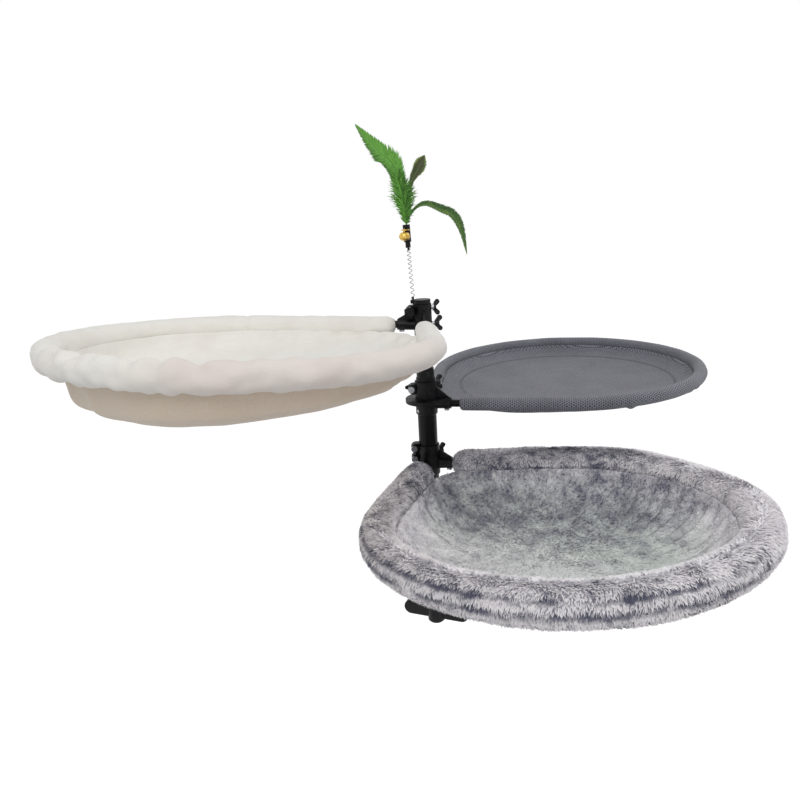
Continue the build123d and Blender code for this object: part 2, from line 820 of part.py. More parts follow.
def make_clamp_nuts(tier, name):
    """Hexagon nuts on the clamp bolts' far ends."""
    ears = ear_thickness + ear_slit / 2
    with BuildPart() as nuts:
        for ear_rise in tier.ear_rises:
            with BuildSketch(bolt_plane(tier, ear_rise).offset(-ears)):
                RegularPolygon(clamp_head_radius, 6)
                Circle(clamp_bolt_radius + fixed_clearance, mode=Mode.SUBTRACT)
            extrude(amount=-clamp_nut_height)
    save(nuts.part, name)


def make_clamp_knob(tier, name, radius):
    """A lobed knob whose screw runs through the ears."""
    ears = ear_thickness + ear_slit / 2
    plane = bolt_plane(tier, tier.ear_rises[0])
    make_knob(name, plane, -ears - clamp_nut_height, ears + clamp_knob_stand_off, radius)


def make_clamp_lever(tier, name):
    """A wing nut behind the ears, one long wing reaching out past them."""
    ears = ear_thickness + ear_slit / 2
    plane = bolt_plane(tier, tier.ear_rises[0]).offset(-ears - seat_gap)
    with BuildPart() as lever:
        with BuildSketch(plane):
            Circle(clamp_head_radius)
            with Locations((0, lever_reach)):
                Circle(lever_tip_radius)
            make_hull()
            Circle(clamp_bolt_radius + running_clearance, mode=Mode.SUBTRACT)
        extrude(amount=-clamp_nut_height)
    save(lever.part, name)


def make_wing_screws(tier):
    """Radial screws that press on the pole, each with a hub and two swept wings."""
    pole = tier.pole_diameter / 2 + seat_gap
    wing_tip = wing_span / 2 - wing_tip_radius
    for wing_screw in tier.wing_screws:
        head = tier.boss_radius + wing_screw.stand_off
        height = tier.height + wing_screw.rise
        with BuildPart() as screw:
            with BuildSketch(radial_plane(wing_screw.azimuth, height, pole)):
                Circle(wing_shaft_radius)
            extrude(amount=head + wing_hub_length / 2 - pole)
            with BuildSketch(radial_plane(wing_screw.azimuth, height, head)):
                Circle(wing_hub_radius)
            extrude(amount=wing_hub_length)
            for side in (1, -1):
                with BuildSketch(side_plane(wing_screw.azimuth, height)):
                    with Locations((head + wing_root_radius, side * wing_root_radius)):
                        Circle(wing_root_radius)
                    with Locations((head + wing_root_radius + wing_sweep, side * wing_tip)):
                        Circle(wing_tip_radius)
                    make_hull()
                extrude(amount=wing_thickness / 2, both=True)
        save(screw.part, wing_screw.name)


def make_stop_ring(tier):
    """The bevelled ring on the pole that the bracket turns on, and its set screw."""
    inner = tier.pole_diameter / 2 + running_clearance
    outer = tier.pole_diameter / 2 + ring_wall
    rear = tier.facing + 180
    middle = tier.boss_foot - ring_height / 2
    with BuildPart() as ring:
        with BuildSketch(side_plane(tier.facing, tier.boss_foot)):
            with BuildLine():
                Polyline((inner, 0), (outer, 0), (outer, ring_bevel - ring_height),
                         (outer - ring_bevel, -ring_height), (inner, -ring_height), close=True)
            make_face()
        revolve(axis=Axis.Z)
        with BuildSketch(radial_plane(rear, middle)):
            Circle(ring_screw_radius + fixed_clearance)
        extrude(amount=outer + overrun, mode=Mode.SUBTRACT)
    save(ring.part, f"{tier.name}_stop_ring")
    with BuildPart() as screw:
        with BuildSketch(radial_plane(rear, middle, inner)):
            Circle(ring_screw_radius)
        extrude(amount=outer - inner)
    save(screw.part, f"{tier.name}_ring_screw")


# Hoops and cloth


def hoop_path(tier, start):
    """The teardrop of a hoop: an arm, the round, and the other arm back."""
    far = hoop_centre + hoop_radius
    with BuildLine(hoop_plane(tier)) as path:
        Line(arm_place(1, start), arm_place(1, arm_length))
        ThreePointArc(arm_place(1, arm_length), (far, 0), arm_place(-1, arm_length))
        Line(arm_place(-1, arm_length), arm_place(-1, start))
    return path.wire()


def make_hoop(tier):
    """The bent steel tube that carries the bed, and the screws that hold its two ends."""
    hoop = hoop_plane(tier)
    with BuildPart() as hoop_tube:
        with BuildSketch(arm_plane(tier, 1, hoop_tube_start)):
            Circle(hoop_tube_diameter / 2)
            Circle(hoop_tube_diameter / 2 - hoop_tube_wall, mode=Mode.SUBTRACT)
        sweep(path=hoop_path(tier, hoop_tube_start))
        for side in (1, -1):
            with BuildSketch(hoop.offset(-hoop_tube_diameter)):
                with Locations(arm_place(side, hoop_screw_place)):
                    Circle(hoop_screw_radius + fixed_clearance)
            extrude(amount=hoop_tube_diameter, mode=Mode.SUBTRACT)
    save(hoop_tube.part, f"{tier.name}_hoop")
    with BuildPart() as screws:
        for side in (1, -1):
            with BuildSketch(hoop.offset(-socket_radius - hoop_screw_head_height)):
                with Locations(arm_place(side, hoop_screw_place)):
                    Circle(hoop_screw_head_radius)
            extrude(amount=hoop_screw_head_height)
            with BuildSketch(hoop.offset(-socket_radius)):
                with Locations(arm_place(side, hoop_screw_place)):
                    Circle(hoop_screw_radius)
            extrude(amount=socket_radius - hoop_screw_radius)
    save(screws.part, f"{tier.name}_hoop_screws")


def make_sleeve(tier):
    """The cloth roll round the hoop, open where the arms leave it."""
    with BuildPart() as sleeve:
        with BuildSketch(arm_plane(tier, 1, tier.sleeve_start)):
            Circle(tier.sleeve_radius)
            Circle(hoop_tube_diameter / 2 + seat_gap, mode=Mode.SUBTRACT)
        sweep(path=hoop_path(tier, tier.sleeve_start))
    save(sleeve.part, f"{tier.name}_rim_sleeve")


def drop_outline(round_radius, throat_centre, throat_radius, bulge):
    """A round and a throat joined by two sides, the folds in them bulging in and out by turns."""
    lean = pi / 2 + asin((round_radius - throat_radius) / (hoop_centre - throat_centre))
    with BuildLine() as outline:
        for side in (1, -1):
            throat_touch = Vector(throat_centre + throat_radius * cos(lean), side * throat_radius * sin(lean))
            round_touch = Vector(hoop_centre + round_radius * cos(lean), side * round_radius * sin(lean))
            along = round_touch - throat_touch
            outwards = Vector(-along.Y, along.X) * side
            for near_share, far_share in zip(fold_place_shares, fold_place_shares[1:]):
                near = throat_touch + along * near_share
                far = throat_touch + along * far_share
                if bulge:
                    bulge = -bulge
                    middle = (near + far) / 2 + outwards * (bulge * (far_share - near_share))
                    ThreePointArc(near, middle, far)
                else:
                    Line(near, far)
            shoulder = (hoop_centre + round_radius * cos(lean / 2), side * round_radius * sin(lean / 2))
            ThreePointArc(round_touch, shoulder, (hoop_centre + round_radius, 0))
        mirrored_touch = Vector(throat_touch.X, -throat_touch.Y)
        ThreePointArc(throat_touch, (throat_centre - throat_radius, 0), mirrored_touch)
    return outline.edges()


def bowl_levels(tier, inset):
    """Plane and outline of a bowl's levels, drawn in by the cloth inside it."""
    hoop = hoop_plane(tier)
    seat = (tier.sleeve_radius + seat_gap) * sin(radians(bowl_seat_angle))
    top_radius = hoop_radius - seat
    top_throat = (throat_reach * sin(half_angle) - seat) / (1 - sin(half_angle))
    longest_pull = hoop_centre - top_radius - throat_reach
    shares = zip(bowl_depth_shares, tier.radius_shares, throat_pull_shares, throat_radius_shares,
                 fold_strength_shares)
    levels = []
    for depth, size, pull, throat, fold in shares:
        slope = depth * tier.bowl_tilt / hoop_radius
        height = slope * hoop_centre - seat - depth * (tier.bowl_depth - inset)
        level = Plane(
            origin=hoop.from_local_coords((0, 0, height)),
            x_dir=hoop.x_dir - hoop.z_dir * slope,
            z_dir=hoop.z_dir + hoop.x_dir * slope,
        )
        round_radius = top_radius * size
        throat_radius = top_throat * throat
        throat_centre = hoop_centre - round_radius - pull * longest_pull + throat_radius
        levels.append((level, round_radius - inset, throat_centre, throat_radius - inset,
                       fold * tier.fold_share))
    return levels


def make_bowl(tier, name):
    """The cloth that hangs in the hoop, drawn together at the throat near the mast."""
    with BuildPart() as bowl:
        for level, round_radius, throat_centre, throat_radius, bulge in bowl_levels(tier, 0):
            with BuildSketch(level):
                make_face(drop_outline(round_radius, throat_centre, throat_radius, bulge))
        loft()
        for level, round_radius, throat_centre, throat_radius, bulge in bowl_levels(tier, cloth_thickness):
            with BuildSketch(level):
                make_face(drop_outline(round_radius, throat_centre, throat_radius, bulge))
        loft(mode=Mode.SUBTRACT)
    save(bowl.part, name)


# Feather toy

toy_foot = heading(toy_azimuth) * toy_offset + Vector(0, 0, upper_pole_top + cap_height)
toy_axis = Vector(0, 0, 1) * cos(radians(toy_lean)) + heading(toy_azimuth) * sin(radians(toy_lean))
toy_plane = Plane(origin=toy_foot, x_dir=heading(toy_azimuth - 90), z_dir=toy_axis)
facing_plane = Plane(origin=toy_foot, x_dir=heading(toy_facing + 90), z_dir=heading(toy_facing))
ferrule_start = spring_length + 2 * seat_gap + 2 * spring_wire_radius
ferrule_mouth = ferrule_start + ferrule_neck_height + ferrule_height


def spring_point(turn):
    """A point of the spring's centre line, the pitch shrinking upwards."""
    share = turn / spring_turns
    rise = share * (1 + spring_pitch_growth_share * (1 - share) / 2)
    angle = 2 * pi * turn
    place = Vector(spring_radius * cos(angle), spring_radius * sin(angle),
                   seat_gap + spring_wire_radius + rise * spring_length)
    return toy_plane.from_local_coords(place)


def spring_tangent(turn):
    """The unit direction of the spring's centre line."""
    step_share = 0.001
    return (spring_point(turn + step_share) - spring_point(turn - step_share)).normalized()


def biarc_joint(start, start_way, end, end_way):
    """The point where two arcs meet that leave start and reach end along their directions."""
    chord = end - start
    ways = start_way + end_way
    quadratic = 2 * (1 - start_way.dot(end_way))
    linear = 2 * chord.dot(ways)
    reach = (sqrt(linear**2 + 4 * quadratic * chord.dot(chord)) - linear) / (2 * quadratic)
    return (start + end + (start_way - end_way) * reach) * 0.5


def make_spring():
    """The toy's open coil as one tube, each quarter turn made of two arcs."""
    quarters = spring_turns * 4
    places = [spring_point(quarter / 4) for quarter in range(quarters + 1)]
    ways = [spring_tangent(quarter / 4) for quarter in range(quarters + 1)]
    with BuildPart() as spring:
        with BuildLine() as path:
            for quarter in range(quarters):
                joint = biarc_joint(places[quarter], ways[quarter], places[quarter + 1], ways[quarter + 1])
                TangentArc(places[quarter], joint, tangent=ways[quarter])
                TangentArc(joint, places[quarter + 1],
                           tangent=joint_way(places[quarter], ways[quarter], joint))
        with BuildSketch(Plane(origin=places[0], z_dir=ways[0])):
            Circle(spring_wire_radius)
        sweep(path=path.wire())
    samples = 24
    points = [spring_point(sample / samples) for sample in range(spring_turns * samples)]
    gap = min((first - second).length
              for index, first in enumerate(points)
              for second in points[index + samples // 2:index + 3 * samples])
    print("spring: least gap to itself", round(gap - 2 * spring_wire_radius, 2), "mm")
    save(spring.part, "toy_spring")


def joint_way(start, start_way, joint):
    """The direction at the far end of an arc that leaves start along start_way."""
    chord = (joint - start).normalized()
    return chord * (2 * chord.dot(start_way)) - start_way


def make_ferrule():
    """The sleeve that holds the quills, its peg in the spring and two holes for the bell's loop."""
    tube_start = ferrule_start + ferrule_neck_height
    with BuildPart() as ferrule:
        with BuildSketch(toy_plane.offset(ferrule_start)):
            Circle(ferrule_neck_radius)
        extrude(amount=ferrule_neck_height)
        with BuildSketch(toy_plane.offset(ferrule_start)):
            Circle(spring_peg_radius)
        extrude(amount=-spring_peg_height)
        with BuildSketch(toy_plane.offset(tube_start)):
            Circle(ferrule_radius)
        extrude(amount=ferrule_height)
        with BuildSketch(toy_plane.offset(tube_start + ferrule_wall)):
            Circle(ferrule_radius - ferrule_wall)
        extrude(amount=ferrule_height, mode=Mode.SUBTRACT)
        with BuildSketch(loop_section_plane()):
            Circle(bell_loop_wire_radius + fixed_clearance)
        revolve(axis=loop_axis(), mode=Mode.SUBTRACT)
    save(ferrule.part, "ferrule")


def loop_middle():
    """The centre of the bell's loop, beside the ferrule."""
    hang = heading(bell_azimuth) * (bell_loop_reach - bell_loop_radius)
    return toy_foot + toy_axis * (ferrule_start + ferrule_neck_height + bell_loop_rise) + hang


def loop_axis():
    """The upright axis that the loop's wire runs round."""
    return Axis(loop_middle(), (0, 0, 1))


def loop_section_plane():
    """The plane across the loop's wire at its outermost point."""
    return Plane(origin=loop_middle() + heading(bell_azimuth) * bell_loop_radius,
                 x_dir=heading(bell_azimuth), z_dir=heading(bell_azimuth + 90))


def make_bell():
    """The bell's loop, the slotted round bell that hangs on it, and its pellet."""
    with BuildPart() as loop:
        with BuildSketch(loop_section_plane()):
            Circle(bell_loop_wire_radius)
        revolve(axis=loop_axis())
    save(loop.part, "bell_loop")
    hook = loop_middle() + heading(bell_azimuth) * bell_loop_radius
    eye_drop = bell_eye_radius - bell_eye_wire_radius - bell_loop_wire_radius - seat_gap
    eye = hook - Vector(0, 0, eye_drop)
    middle = eye - Vector(0, 0, bell_eye_radius + bell_half_height)
    profile_plane = Plane(origin=middle, x_dir=heading(bell_azimuth), z_dir=heading(bell_azimuth - 90))
    inner_radius = bell_radius - bell_wall
    inner_half_height = bell_half_height - bell_wall
    with BuildPart() as bell:
        with BuildSketch(profile_plane):
            RectangleRounded(2 * bell_radius, 2 * bell_half_height, bell_corner)
            Rectangle(2 * (bell_radius + bell_band_reach), bell_band_height)
            RectangleRounded(2 * inner_radius, 2 * inner_half_height, bell_corner - bell_wall,
                             mode=Mode.SUBTRACT)
            Rectangle(2 * bell_radius, 4 * bell_radius, align=(Align.MAX, Align.CENTER),
                      mode=Mode.SUBTRACT)
        revolve(axis=Axis(middle, (0, 0, 1)))
        with BuildSketch(Plane(origin=middle - Vector(0, 0, bell_half_height + overrun),
                               x_dir=heading(bell_azimuth), z_dir=(0, 0, 1))):
            SlotCenterToCenter(bell_radius, bell_slot)
        extrude(amount=bell_half_height, mode=Mode.SUBTRACT)
        with BuildSketch(Plane(origin=eye - Vector(0, 0, bell_eye_radius), x_dir=(0, 0, 1),
                               z_dir=heading(bell_azimuth))):
            Circle(bell_eye_wire_radius)
        revolve(axis=Axis(eye, heading(bell_azimuth + 90)))
    save(bell.part, "bell")
    with BuildPart() as pellet:
        with Locations(middle - Vector(0, 0, inner_half_height - pellet_radius - seat_gap)):
            Sphere(pellet_radius)
    save(pellet.part, "bell_pellet")


def make_feather(name, layer, length, width, spine_shares, vane_shares):
    """A flat feather: a quill in the ferrule and a vane along a curved spine."""
    mouth = facing_plane.to_local_coords(toy_foot + toy_axis * ferrule_mouth)
    foot = Vector(mouth.X, mouth.Y)
    spine = [foot + Vector(across * length, up * length) for across, up in spine_shares]
    left = [spine[0]]
    right = [spine[0]]
    for index in range(1, len(spine) - 1):
        way = (spine[index + 1] - spine[index - 1]).normalized()
        side = Vector(-way.Y, way.X) * (width / 2 * vane_shares[index])
        left.append(spine[index] + side)
        right.append(spine[index] - side)
    left.append(spine[-1])
    right.append(spine[-1])
    with BuildPart() as feather:
        with BuildSketch(facing_plane.offset(layer * feather_spacing - feather_thickness / 2)):
            with BuildLine():
                Spline(left)
                Spline(right)
            make_face()
            with Locations(foot):
                Rectangle(quill_width, 2 * quill_depth)
        extrude(amount=feather_thickness)
    save(feather.part, name)


def make_plume():
    """The fluffy body of short barbs in front of the long feathers."""
    mouth = facing_plane.to_local_coords(toy_foot + toy_axis * ferrule_mouth)
    middle = feather_spacing + feather_thickness / 2 + seat_gap + plume_thickness / 2
    shares = zip(plume_height_shares, plume_width_shares, plume_shift_shares, plume_thickness_shares)
    with BuildPart() as plume:
        for up, wide, shift, thick in shares:
            place = Vector(mouth.X + shift * plume_width, mouth.Y + seat_gap + up * plume_height, middle)
            origin = facing_plane.from_local_coords(place)
            with BuildSketch(Plane(origin=origin, x_dir=facing_plane.x_dir, z_dir=(0, 0, 1))):
                Ellipse(plume_width / 2 * wide, plume_thickness / 2 * thick)
        loft()
    save(plume.part, "feather_plume")


make_clamp_frame()
make_jaw_pad()
make_pole_socket()
make_clamp_fasteners()
make_clamp_screw()
make_pressure_foot()
make_wing_handle()
make_poles()
make_guide_bush()
make_pole_ends()

for tier in (white, grey, furry):
    make_bracket(tier)
    make_wing_screws(tier)
    make_stop_ring(tier)
    make_hoop(tier)
    make_sleeve(tier)
make_clamp_knob(white, "white_clamp_knob", white_knob_radius)
make_clamp_bolts(grey, "grey_clamp_bolt")
make_clamp_lever(grey, "grey_clamp_lever")
make_clamp_bolts(furry, "furry_clamp_bolts")
make_clamp_nuts(furry, "furry_clamp_nuts")
make_bowl(white, "white_bowl")
make_bowl(grey, "grey_sling")
make_bowl(furry, "furry_bowl")

make_spring()
make_ferrule()
make_bell()
make_feather("leaf_feather", -1, leaf_feather_length, leaf_feather_width, leaf_spine_shares, leaf_vane_shares)
make_feather("long_feather", 0, long_feather_length, long_feather_width, long_spine_shares, long_vane_shares)
make_feather("drooping_feather", 1, drooping_feather_length, drooping_feather_width,
             drooping_spine_shares, drooping_vane_shares)
make_plume()
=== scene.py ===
import json
from math import asin, cos, pi, radians, sin, sqrt

import bpy
import numpy as np
from bpy.props import FloatProperty, FloatVectorProperty, IntProperty, PointerProperty
from mathutils import Matrix, Vector, noise


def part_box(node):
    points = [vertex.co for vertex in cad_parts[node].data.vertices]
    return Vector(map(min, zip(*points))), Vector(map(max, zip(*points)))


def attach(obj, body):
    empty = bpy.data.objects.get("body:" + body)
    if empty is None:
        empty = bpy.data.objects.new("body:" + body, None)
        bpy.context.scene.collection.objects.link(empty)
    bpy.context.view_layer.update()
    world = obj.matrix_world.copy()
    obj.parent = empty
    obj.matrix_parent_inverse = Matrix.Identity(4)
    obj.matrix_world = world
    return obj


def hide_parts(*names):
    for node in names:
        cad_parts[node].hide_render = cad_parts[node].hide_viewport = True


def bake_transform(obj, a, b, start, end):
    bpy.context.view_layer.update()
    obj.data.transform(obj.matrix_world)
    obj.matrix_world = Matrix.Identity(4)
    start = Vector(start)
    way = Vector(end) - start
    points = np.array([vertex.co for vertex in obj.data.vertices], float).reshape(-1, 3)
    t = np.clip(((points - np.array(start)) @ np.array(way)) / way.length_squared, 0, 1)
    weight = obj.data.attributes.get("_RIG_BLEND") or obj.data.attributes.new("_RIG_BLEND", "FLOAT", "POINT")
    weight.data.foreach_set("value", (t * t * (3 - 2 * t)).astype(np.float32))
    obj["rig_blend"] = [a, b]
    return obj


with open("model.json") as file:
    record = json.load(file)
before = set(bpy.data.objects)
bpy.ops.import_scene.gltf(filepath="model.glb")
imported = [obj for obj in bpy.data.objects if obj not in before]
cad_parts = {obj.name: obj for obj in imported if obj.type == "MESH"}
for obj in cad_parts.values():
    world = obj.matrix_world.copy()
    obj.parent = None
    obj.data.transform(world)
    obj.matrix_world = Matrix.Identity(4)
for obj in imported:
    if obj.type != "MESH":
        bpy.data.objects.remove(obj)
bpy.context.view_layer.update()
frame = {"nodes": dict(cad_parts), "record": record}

bl_info = {
    "name": "Desk mounted cat hammock",
    "version": (1, 0, 0),
    "blender": (4, 5, 0),
    "location": "View3D > Sidebar > Cat hammock",
    "description": "Cloth, fur, feathers and finishes of a desk mounted cat hammock with three beds",
    "category": "Object",
}

MILLIMETRE = 0.001
SAME_PLACE = 0.00001
TINY = 1e-9


# Words for the settings


def length(name, description, millimetres):
    """A length, given in millimetres and kept in metres."""
    return FloatProperty(name=name, description=description, default=millimetres * MILLIMETRE,
                         min=0, subtype="DISTANCE", unit="LENGTH")


def angle(name, description, degrees):
    """An angle, given in degrees."""
    return FloatProperty(name=name, description=description, default=radians(degrees),
                         subtype="ANGLE", unit="ROTATION")


def share(name, description, value):
    """A plain number from 0 to 1."""
    return FloatProperty(name=name, description=description, default=value, min=0, max=1, subtype="FACTOR")


def count(name, description, value):
    """A whole number of like things."""
    return IntProperty(name=name, description=description, default=value, min=1)


def colour(name, description, red, green, blue):
    """A colour, given as it looks on a screen from 0 to 255."""
    return FloatVectorProperty(name=name, description=description, size=3, subtype="COLOR", min=0, max=1,
                               default=paint(red, green, blue))


def paint(red, green, blue):
    """A screen colour from 0 to 255 as Blender's linear light."""
    return tuple(((level / 255 + 0.055) / 1.055) ** 2.4 for level in (red, green, blue))


class HammockHoops(bpy.types.PropertyGroup):
    """The bent tube that is the same in all three beds, and the cloth on it."""

    radius: length("Hoop radius", "Radius of the tube's round", 190)
    centre: length("Hoop centre", "From the mast to the middle of the round", 257.6)
    throat_reach: length("Throat reach", "From the mast to where the hanging cloth begins", 42)
    cloth_thickness: length("Cloth thickness", "Thickness of the hanging cloth", 3)
    seat_gap: length("Seat gap", "Between the roll and the cloth below it", 0.3)
    along: count("Steps along", "Faces along a rim roll", 440)
    around: count("Steps around", "Faces around a rim roll", 44)
    spokes: count("Spokes", "Faces around a bowl", 420)
    rings: count("Rings", "Faces from a bowl's rim to its middle", 64)


class WhiteBedSettings(bpy.types.PropertyGroup):
    """The highest bed, of short white plush."""

    facing: angle("Facing", "Direction from the mast to the bed", 188.4)
    height: length("Height", "Height of the hoop at the mast", 275)
    rise: angle("Rise", "Upward tilt of the bed away from the mast", 4.9)
    roll_radius: length("Roll radius", "Radius of the rim roll", 13)
    roll_droop: length("Roll droop", "How far the roll sags under its tube", 3)
    roll_start: length("Roll start", "From the mast to the rim roll along the tube", 33.3)
    seat_angle: angle("Seat angle", "Where the hanging cloth leaves the roll, below its inner side", 45)
    bowl_depth: length("Bowl depth", "Depth of the hanging cloth", 42)
    bowl_tilt: length("Bowl tilt", "How much deeper the cloth hangs at its far side", 22)
    fold_share: share("Fold depth", "Depth of the large folds at the throat", 0.03)
    cream: colour("Cream", "The plush in full light", 242, 240, 234)
    # Blush: used for random patches, and as painted shade on the front of the rim
    blush_and_front_shade: colour("Blush", "The front of the rim", 226, 211, 205)
    # Tan: painted shade on the outside of the bowl, under it
    tan: colour("Tan", "The backing on the outside of the bowl", 219, 200, 176)


class GreyBedSettings(bpy.types.PropertyGroup):
    """The middle bed, of grey spacer mesh."""

    facing: angle("Facing", "Direction from the mast to the bed", -2.2)
    height: length("Height", "Height of the hoop at the mast", 170)
    rise: angle("Rise", "Upward tilt of the bed away from the mast", 0.7)
    roll_radius: length("Roll radius", "Radius of the rim sleeve", 9)
    roll_droop: length("Roll droop", "How far the sleeve sags under its tube", 0.5)
    seat_angle: angle("Seat angle", "Where the sling leaves the sleeve, below its inner side", 30)
    roll_start: length("Roll start", "From the mast to the rim sleeve along the tube", 43)
    bowl_depth: length("Sling depth", "Depth of the sling", 23)
    bowl_tilt: length("Sling tilt", "How much deeper the sling hangs at its far side", 0)
    fold_share: share("Fold depth", "Depth of the large folds at the throat", 0.02)
    hole_pitch: length("Hole pitch", "Between the holes of the mesh", 3.1)
    border_width: length("Border width", "Width of the sewn ring inside the rim", 24)
    thread: colour("Thread", "Yarn of the mesh", 140, 141, 152)
    # Holes: painted shade in the mesh's holes, also the colour of the dark stitched seam
    depth: colour("Holes", "What shows in the holes", 44, 45, 53)


class FurryBedSettings(bpy.types.PropertyGroup):
    """The lowest bed, of two-tone long fur."""

    facing: angle("Facing", "Direction from the mast to the bed", -96.4)
    height: length("Height", "Height of the hoop at the mast", 85)
    rise: angle("Rise", "Upward tilt of the bed away from the mast", 4.9)
    roll_radius: length("Roll radius", "Radius of the rim roll", 20)
    roll_droop: length("Roll droop", "How far the roll sags under its tube", 1.5)
    seat_angle: angle("Seat angle", "Where the hanging cloth leaves the roll, below its inner side", 18)
    roll_start: length("Roll start", "From the mast to the rim roll along the tube", 33.3)
    bowl_depth: length("Bowl depth", "Depth of the hanging cloth", 58)
    bowl_tilt: length("Bowl tilt", "How much deeper the cloth hangs at its far side", 0)
    fold_share: share("Fold depth", "Depth of the large folds at the throat", 0.14)
    pile: length("Pile", "Length of the fur", 6.5)
    tuft_width: length("Tuft width", "Width of a tuft at its root", 1.3)
    roll_tufts: count("Tufts on the roll", "Number of tufts on the rim roll", 84000)
    bowl_tufts: count("Tufts in the bowl", "Number of tufts on the hanging cloth", 66000)
    frost: colour("Frost", "Tips of the fur", 248, 245, 248)
    navy: colour("Navy", "Roots of the fur", 94, 95, 116)
    sage: colour("Sage", "The fur in the bowl", 226, 232, 228)


class ToySettings(bpy.types.PropertyGroup):
    """The feather toy on its spring."""

    azimuth: angle("Lean direction", "Direction from the mast to the spring", 145)
    facing: angle("Facing", "Direction that the feathers' flat side looks in", -125)
    offset: length("Offset", "From the mast to the spring's foot", 10.9)
    lean: angle("Lean", "Tilt of the spring", 2.5)
    foot: length("Foot", "Height of the spring's foot", 307.7)
    mouth: length("Mouth", "Along the toy from the spring's foot to the quills", 93.1)
    layer: length("Layer", "Between the flat feathers", 1.2)
    green: colour("Green", "The dyed feathers", 108, 176, 66)
    moss: colour("Moss", "The dyed feathers' dark parts", 44, 88, 30)
    bark: colour("Bark", "The dark leaf-shaped feather", 46, 44, 30)
    lime: colour("Lime", "Its bright edge", 142, 176, 74)
    olive: colour("Olive", "The drooping feather", 74, 108, 40)


class StageSettings(bpy.types.PropertyGroup):
    """Floor, light and camera."""

    floor_height: FloatProperty(name="Floor height", description="Height of the floor under the desk's edge",
                                default=-0.7, subtype="DISTANCE", unit="LENGTH")
    floor_size: FloatProperty(name="Floor size", description="Side of the square floor", default=60,
                              subtype="DISTANCE", unit="LENGTH")
    world_strength: FloatProperty(name="World strength", description="Light from all round", default=0.52)
    key_power: FloatProperty(name="Key light", description="Power of the large lamp", default=18.5,
                             subtype="POWER", unit="POWER")
    camera_place: FloatVectorProperty(name="Camera", description="Place of the camera", size=3,
                                      default=(-0.543, -0.7145, 0.4257), subtype="XYZ", unit="LENGTH")
    camera_heading: angle("Camera heading", "Turn of the view to the right", 35)
    camera_pitch: angle("Camera pitch", "Downward look of the camera", 15.54)
    camera_roll: angle("Camera roll", "Roll of the camera", -3.29)
    lens: FloatProperty(name="Lens", description="Focal length on a 36 mm sensor", default=31.66)


# Shapes worked out with numbers, for cloth and feathers


def heading(azimuth):
    """The level unit vector that points along an azimuth."""
    return Vector((cos(azimuth), sin(azimuth), 0))


def mesh_piece(name, points, faces, smooth=True):
    """A new object from points and faces, its place in its mesh."""
    mesh = bpy.data.meshes.new(name)
    mesh.from_pydata(np.asarray(points).reshape(-1, 3).tolist(), [], [tuple(face) for face in faces])
    mesh.update()
    piece = bpy.data.objects.new(name, mesh)
    bpy.context.scene.collection.objects.link(piece)
    if smooth:
        mesh.shade_smooth()
    return piece


def deselect():
    """Leaves nothing selected, so that an operator acts on one piece only."""
    bpy.ops.object.select_all(action="DESELECT")


def pick(piece):
    """Selects one piece and makes it the active one."""
    deselect()
    piece.select_set(True)
    bpy.context.view_layer.objects.active = piece


def apply_modifier(piece, kind, **settings):
    """Adds a modifier to a piece and applies it."""
    pick(piece)
    modifier = piece.modifiers.new(kind.title(), kind)
    for key, value in settings.items():
        setattr(modifier, key, value)
    bpy.ops.object.modifier_apply(modifier=modifier.name)


def edit_whole(piece, step, **settings):
    """Runs one step of edit mode on the whole of a piece."""
    pick(piece)
    bpy.ops.object.mode_set(mode="EDIT")
    bpy.ops.mesh.select_all(action="SELECT")
    step(**settings)
    bpy.ops.object.mode_set(mode="OBJECT")


def weld(piece):
    """Merges a piece's points that lie on each other."""
    edit_whole(piece, bpy.ops.mesh.remove_doubles, threshold=SAME_PLACE)


def read_points(mesh, kind):
    """The places or the normals of a mesh's points, as kind says: co or normal."""
    values = np.zeros(len(mesh.vertices) * 3)
    mesh.vertices.foreach_get(kind, values)
    return values.reshape(-1, 3)


def mark(piece, attribute, values):
    """Writes one value for each point of a piece, for its finish to read."""
    attributes = piece.data.attributes
    if attribute not in attributes:
        attributes.new(attribute, "FLOAT", "POINT")
    attributes[attribute].data.foreach_set("value", values.reshape(-1).astype(np.float32))


def grid_piece(name, points, across_uv, along_uv, wrap_rows=False, wrap_columns=False):
    """A cloth of quads through rows and columns of points, its UV map in metres."""
    rows, columns = points.shape[:2]
    last_row = rows if wrap_rows else rows - 1
    last_column = columns if wrap_columns else columns - 1
    row, column = np.meshgrid(np.arange(last_row), np.arange(last_column), indexing="ij")
    corners = [(row, column), (row, column + 1), (row + 1, column + 1), (row + 1, column)]
    faces = np.stack([(r % rows) * columns + c % columns for r, c in corners], axis=-1).reshape(-1, 4)
    piece = mesh_piece(name, points, faces.tolist())
    layer = piece.data.uv_layers.new(name="UVMap")
    uv = np.stack([np.stack([across_uv[r, c], along_uv[r, c]], axis=-1) for r, c in corners], axis=-2)
    layer.data.foreach_set("uv", uv.reshape(-1).astype(np.float32))
    return piece


def ripple(points, lump, seed):
    """Smooth chance values from -1 to 1, in lumps of about the given size along each axis."""
    scaled = points.reshape(-1, 3) / np.asarray(lump)
    shift = Vector((seed * 7.3, seed * 3.1, seed * 1.7))
    values = [noise.noise(Vector(point) + shift) for point in scaled.tolist()]
    return np.array(values).reshape(points.shape[:-1])


def eased(shares, place):
    """A smooth curve through shares that stand at 0, 1, 2 and so on."""
    shares = np.asarray(shares, float)
    left = np.clip(np.floor(place).astype(int), 0, len(shares) - 2)
    slopes = np.gradient(shares)
    part = place - left
    rise = shares[left + 1] - shares[left]
    return (shares[left] + slopes[left] * part + (3 * rise - 2 * slopes[left] - slopes[left + 1]) * part**2
            + (slopes[left] + slopes[left + 1] - 2 * rise) * part**3)


def hill(value, middle, width):
    """A smooth hill over a value, 1 at its middle and nothing far from it."""
    return np.exp(-((value - middle) / width) ** 2)


def off_axis(turn):
    """How far a direction turns from the bed's own, 0 at the far end and pi at the throat."""
    return np.abs(np.mod(turn + pi, 2 * pi) - pi)


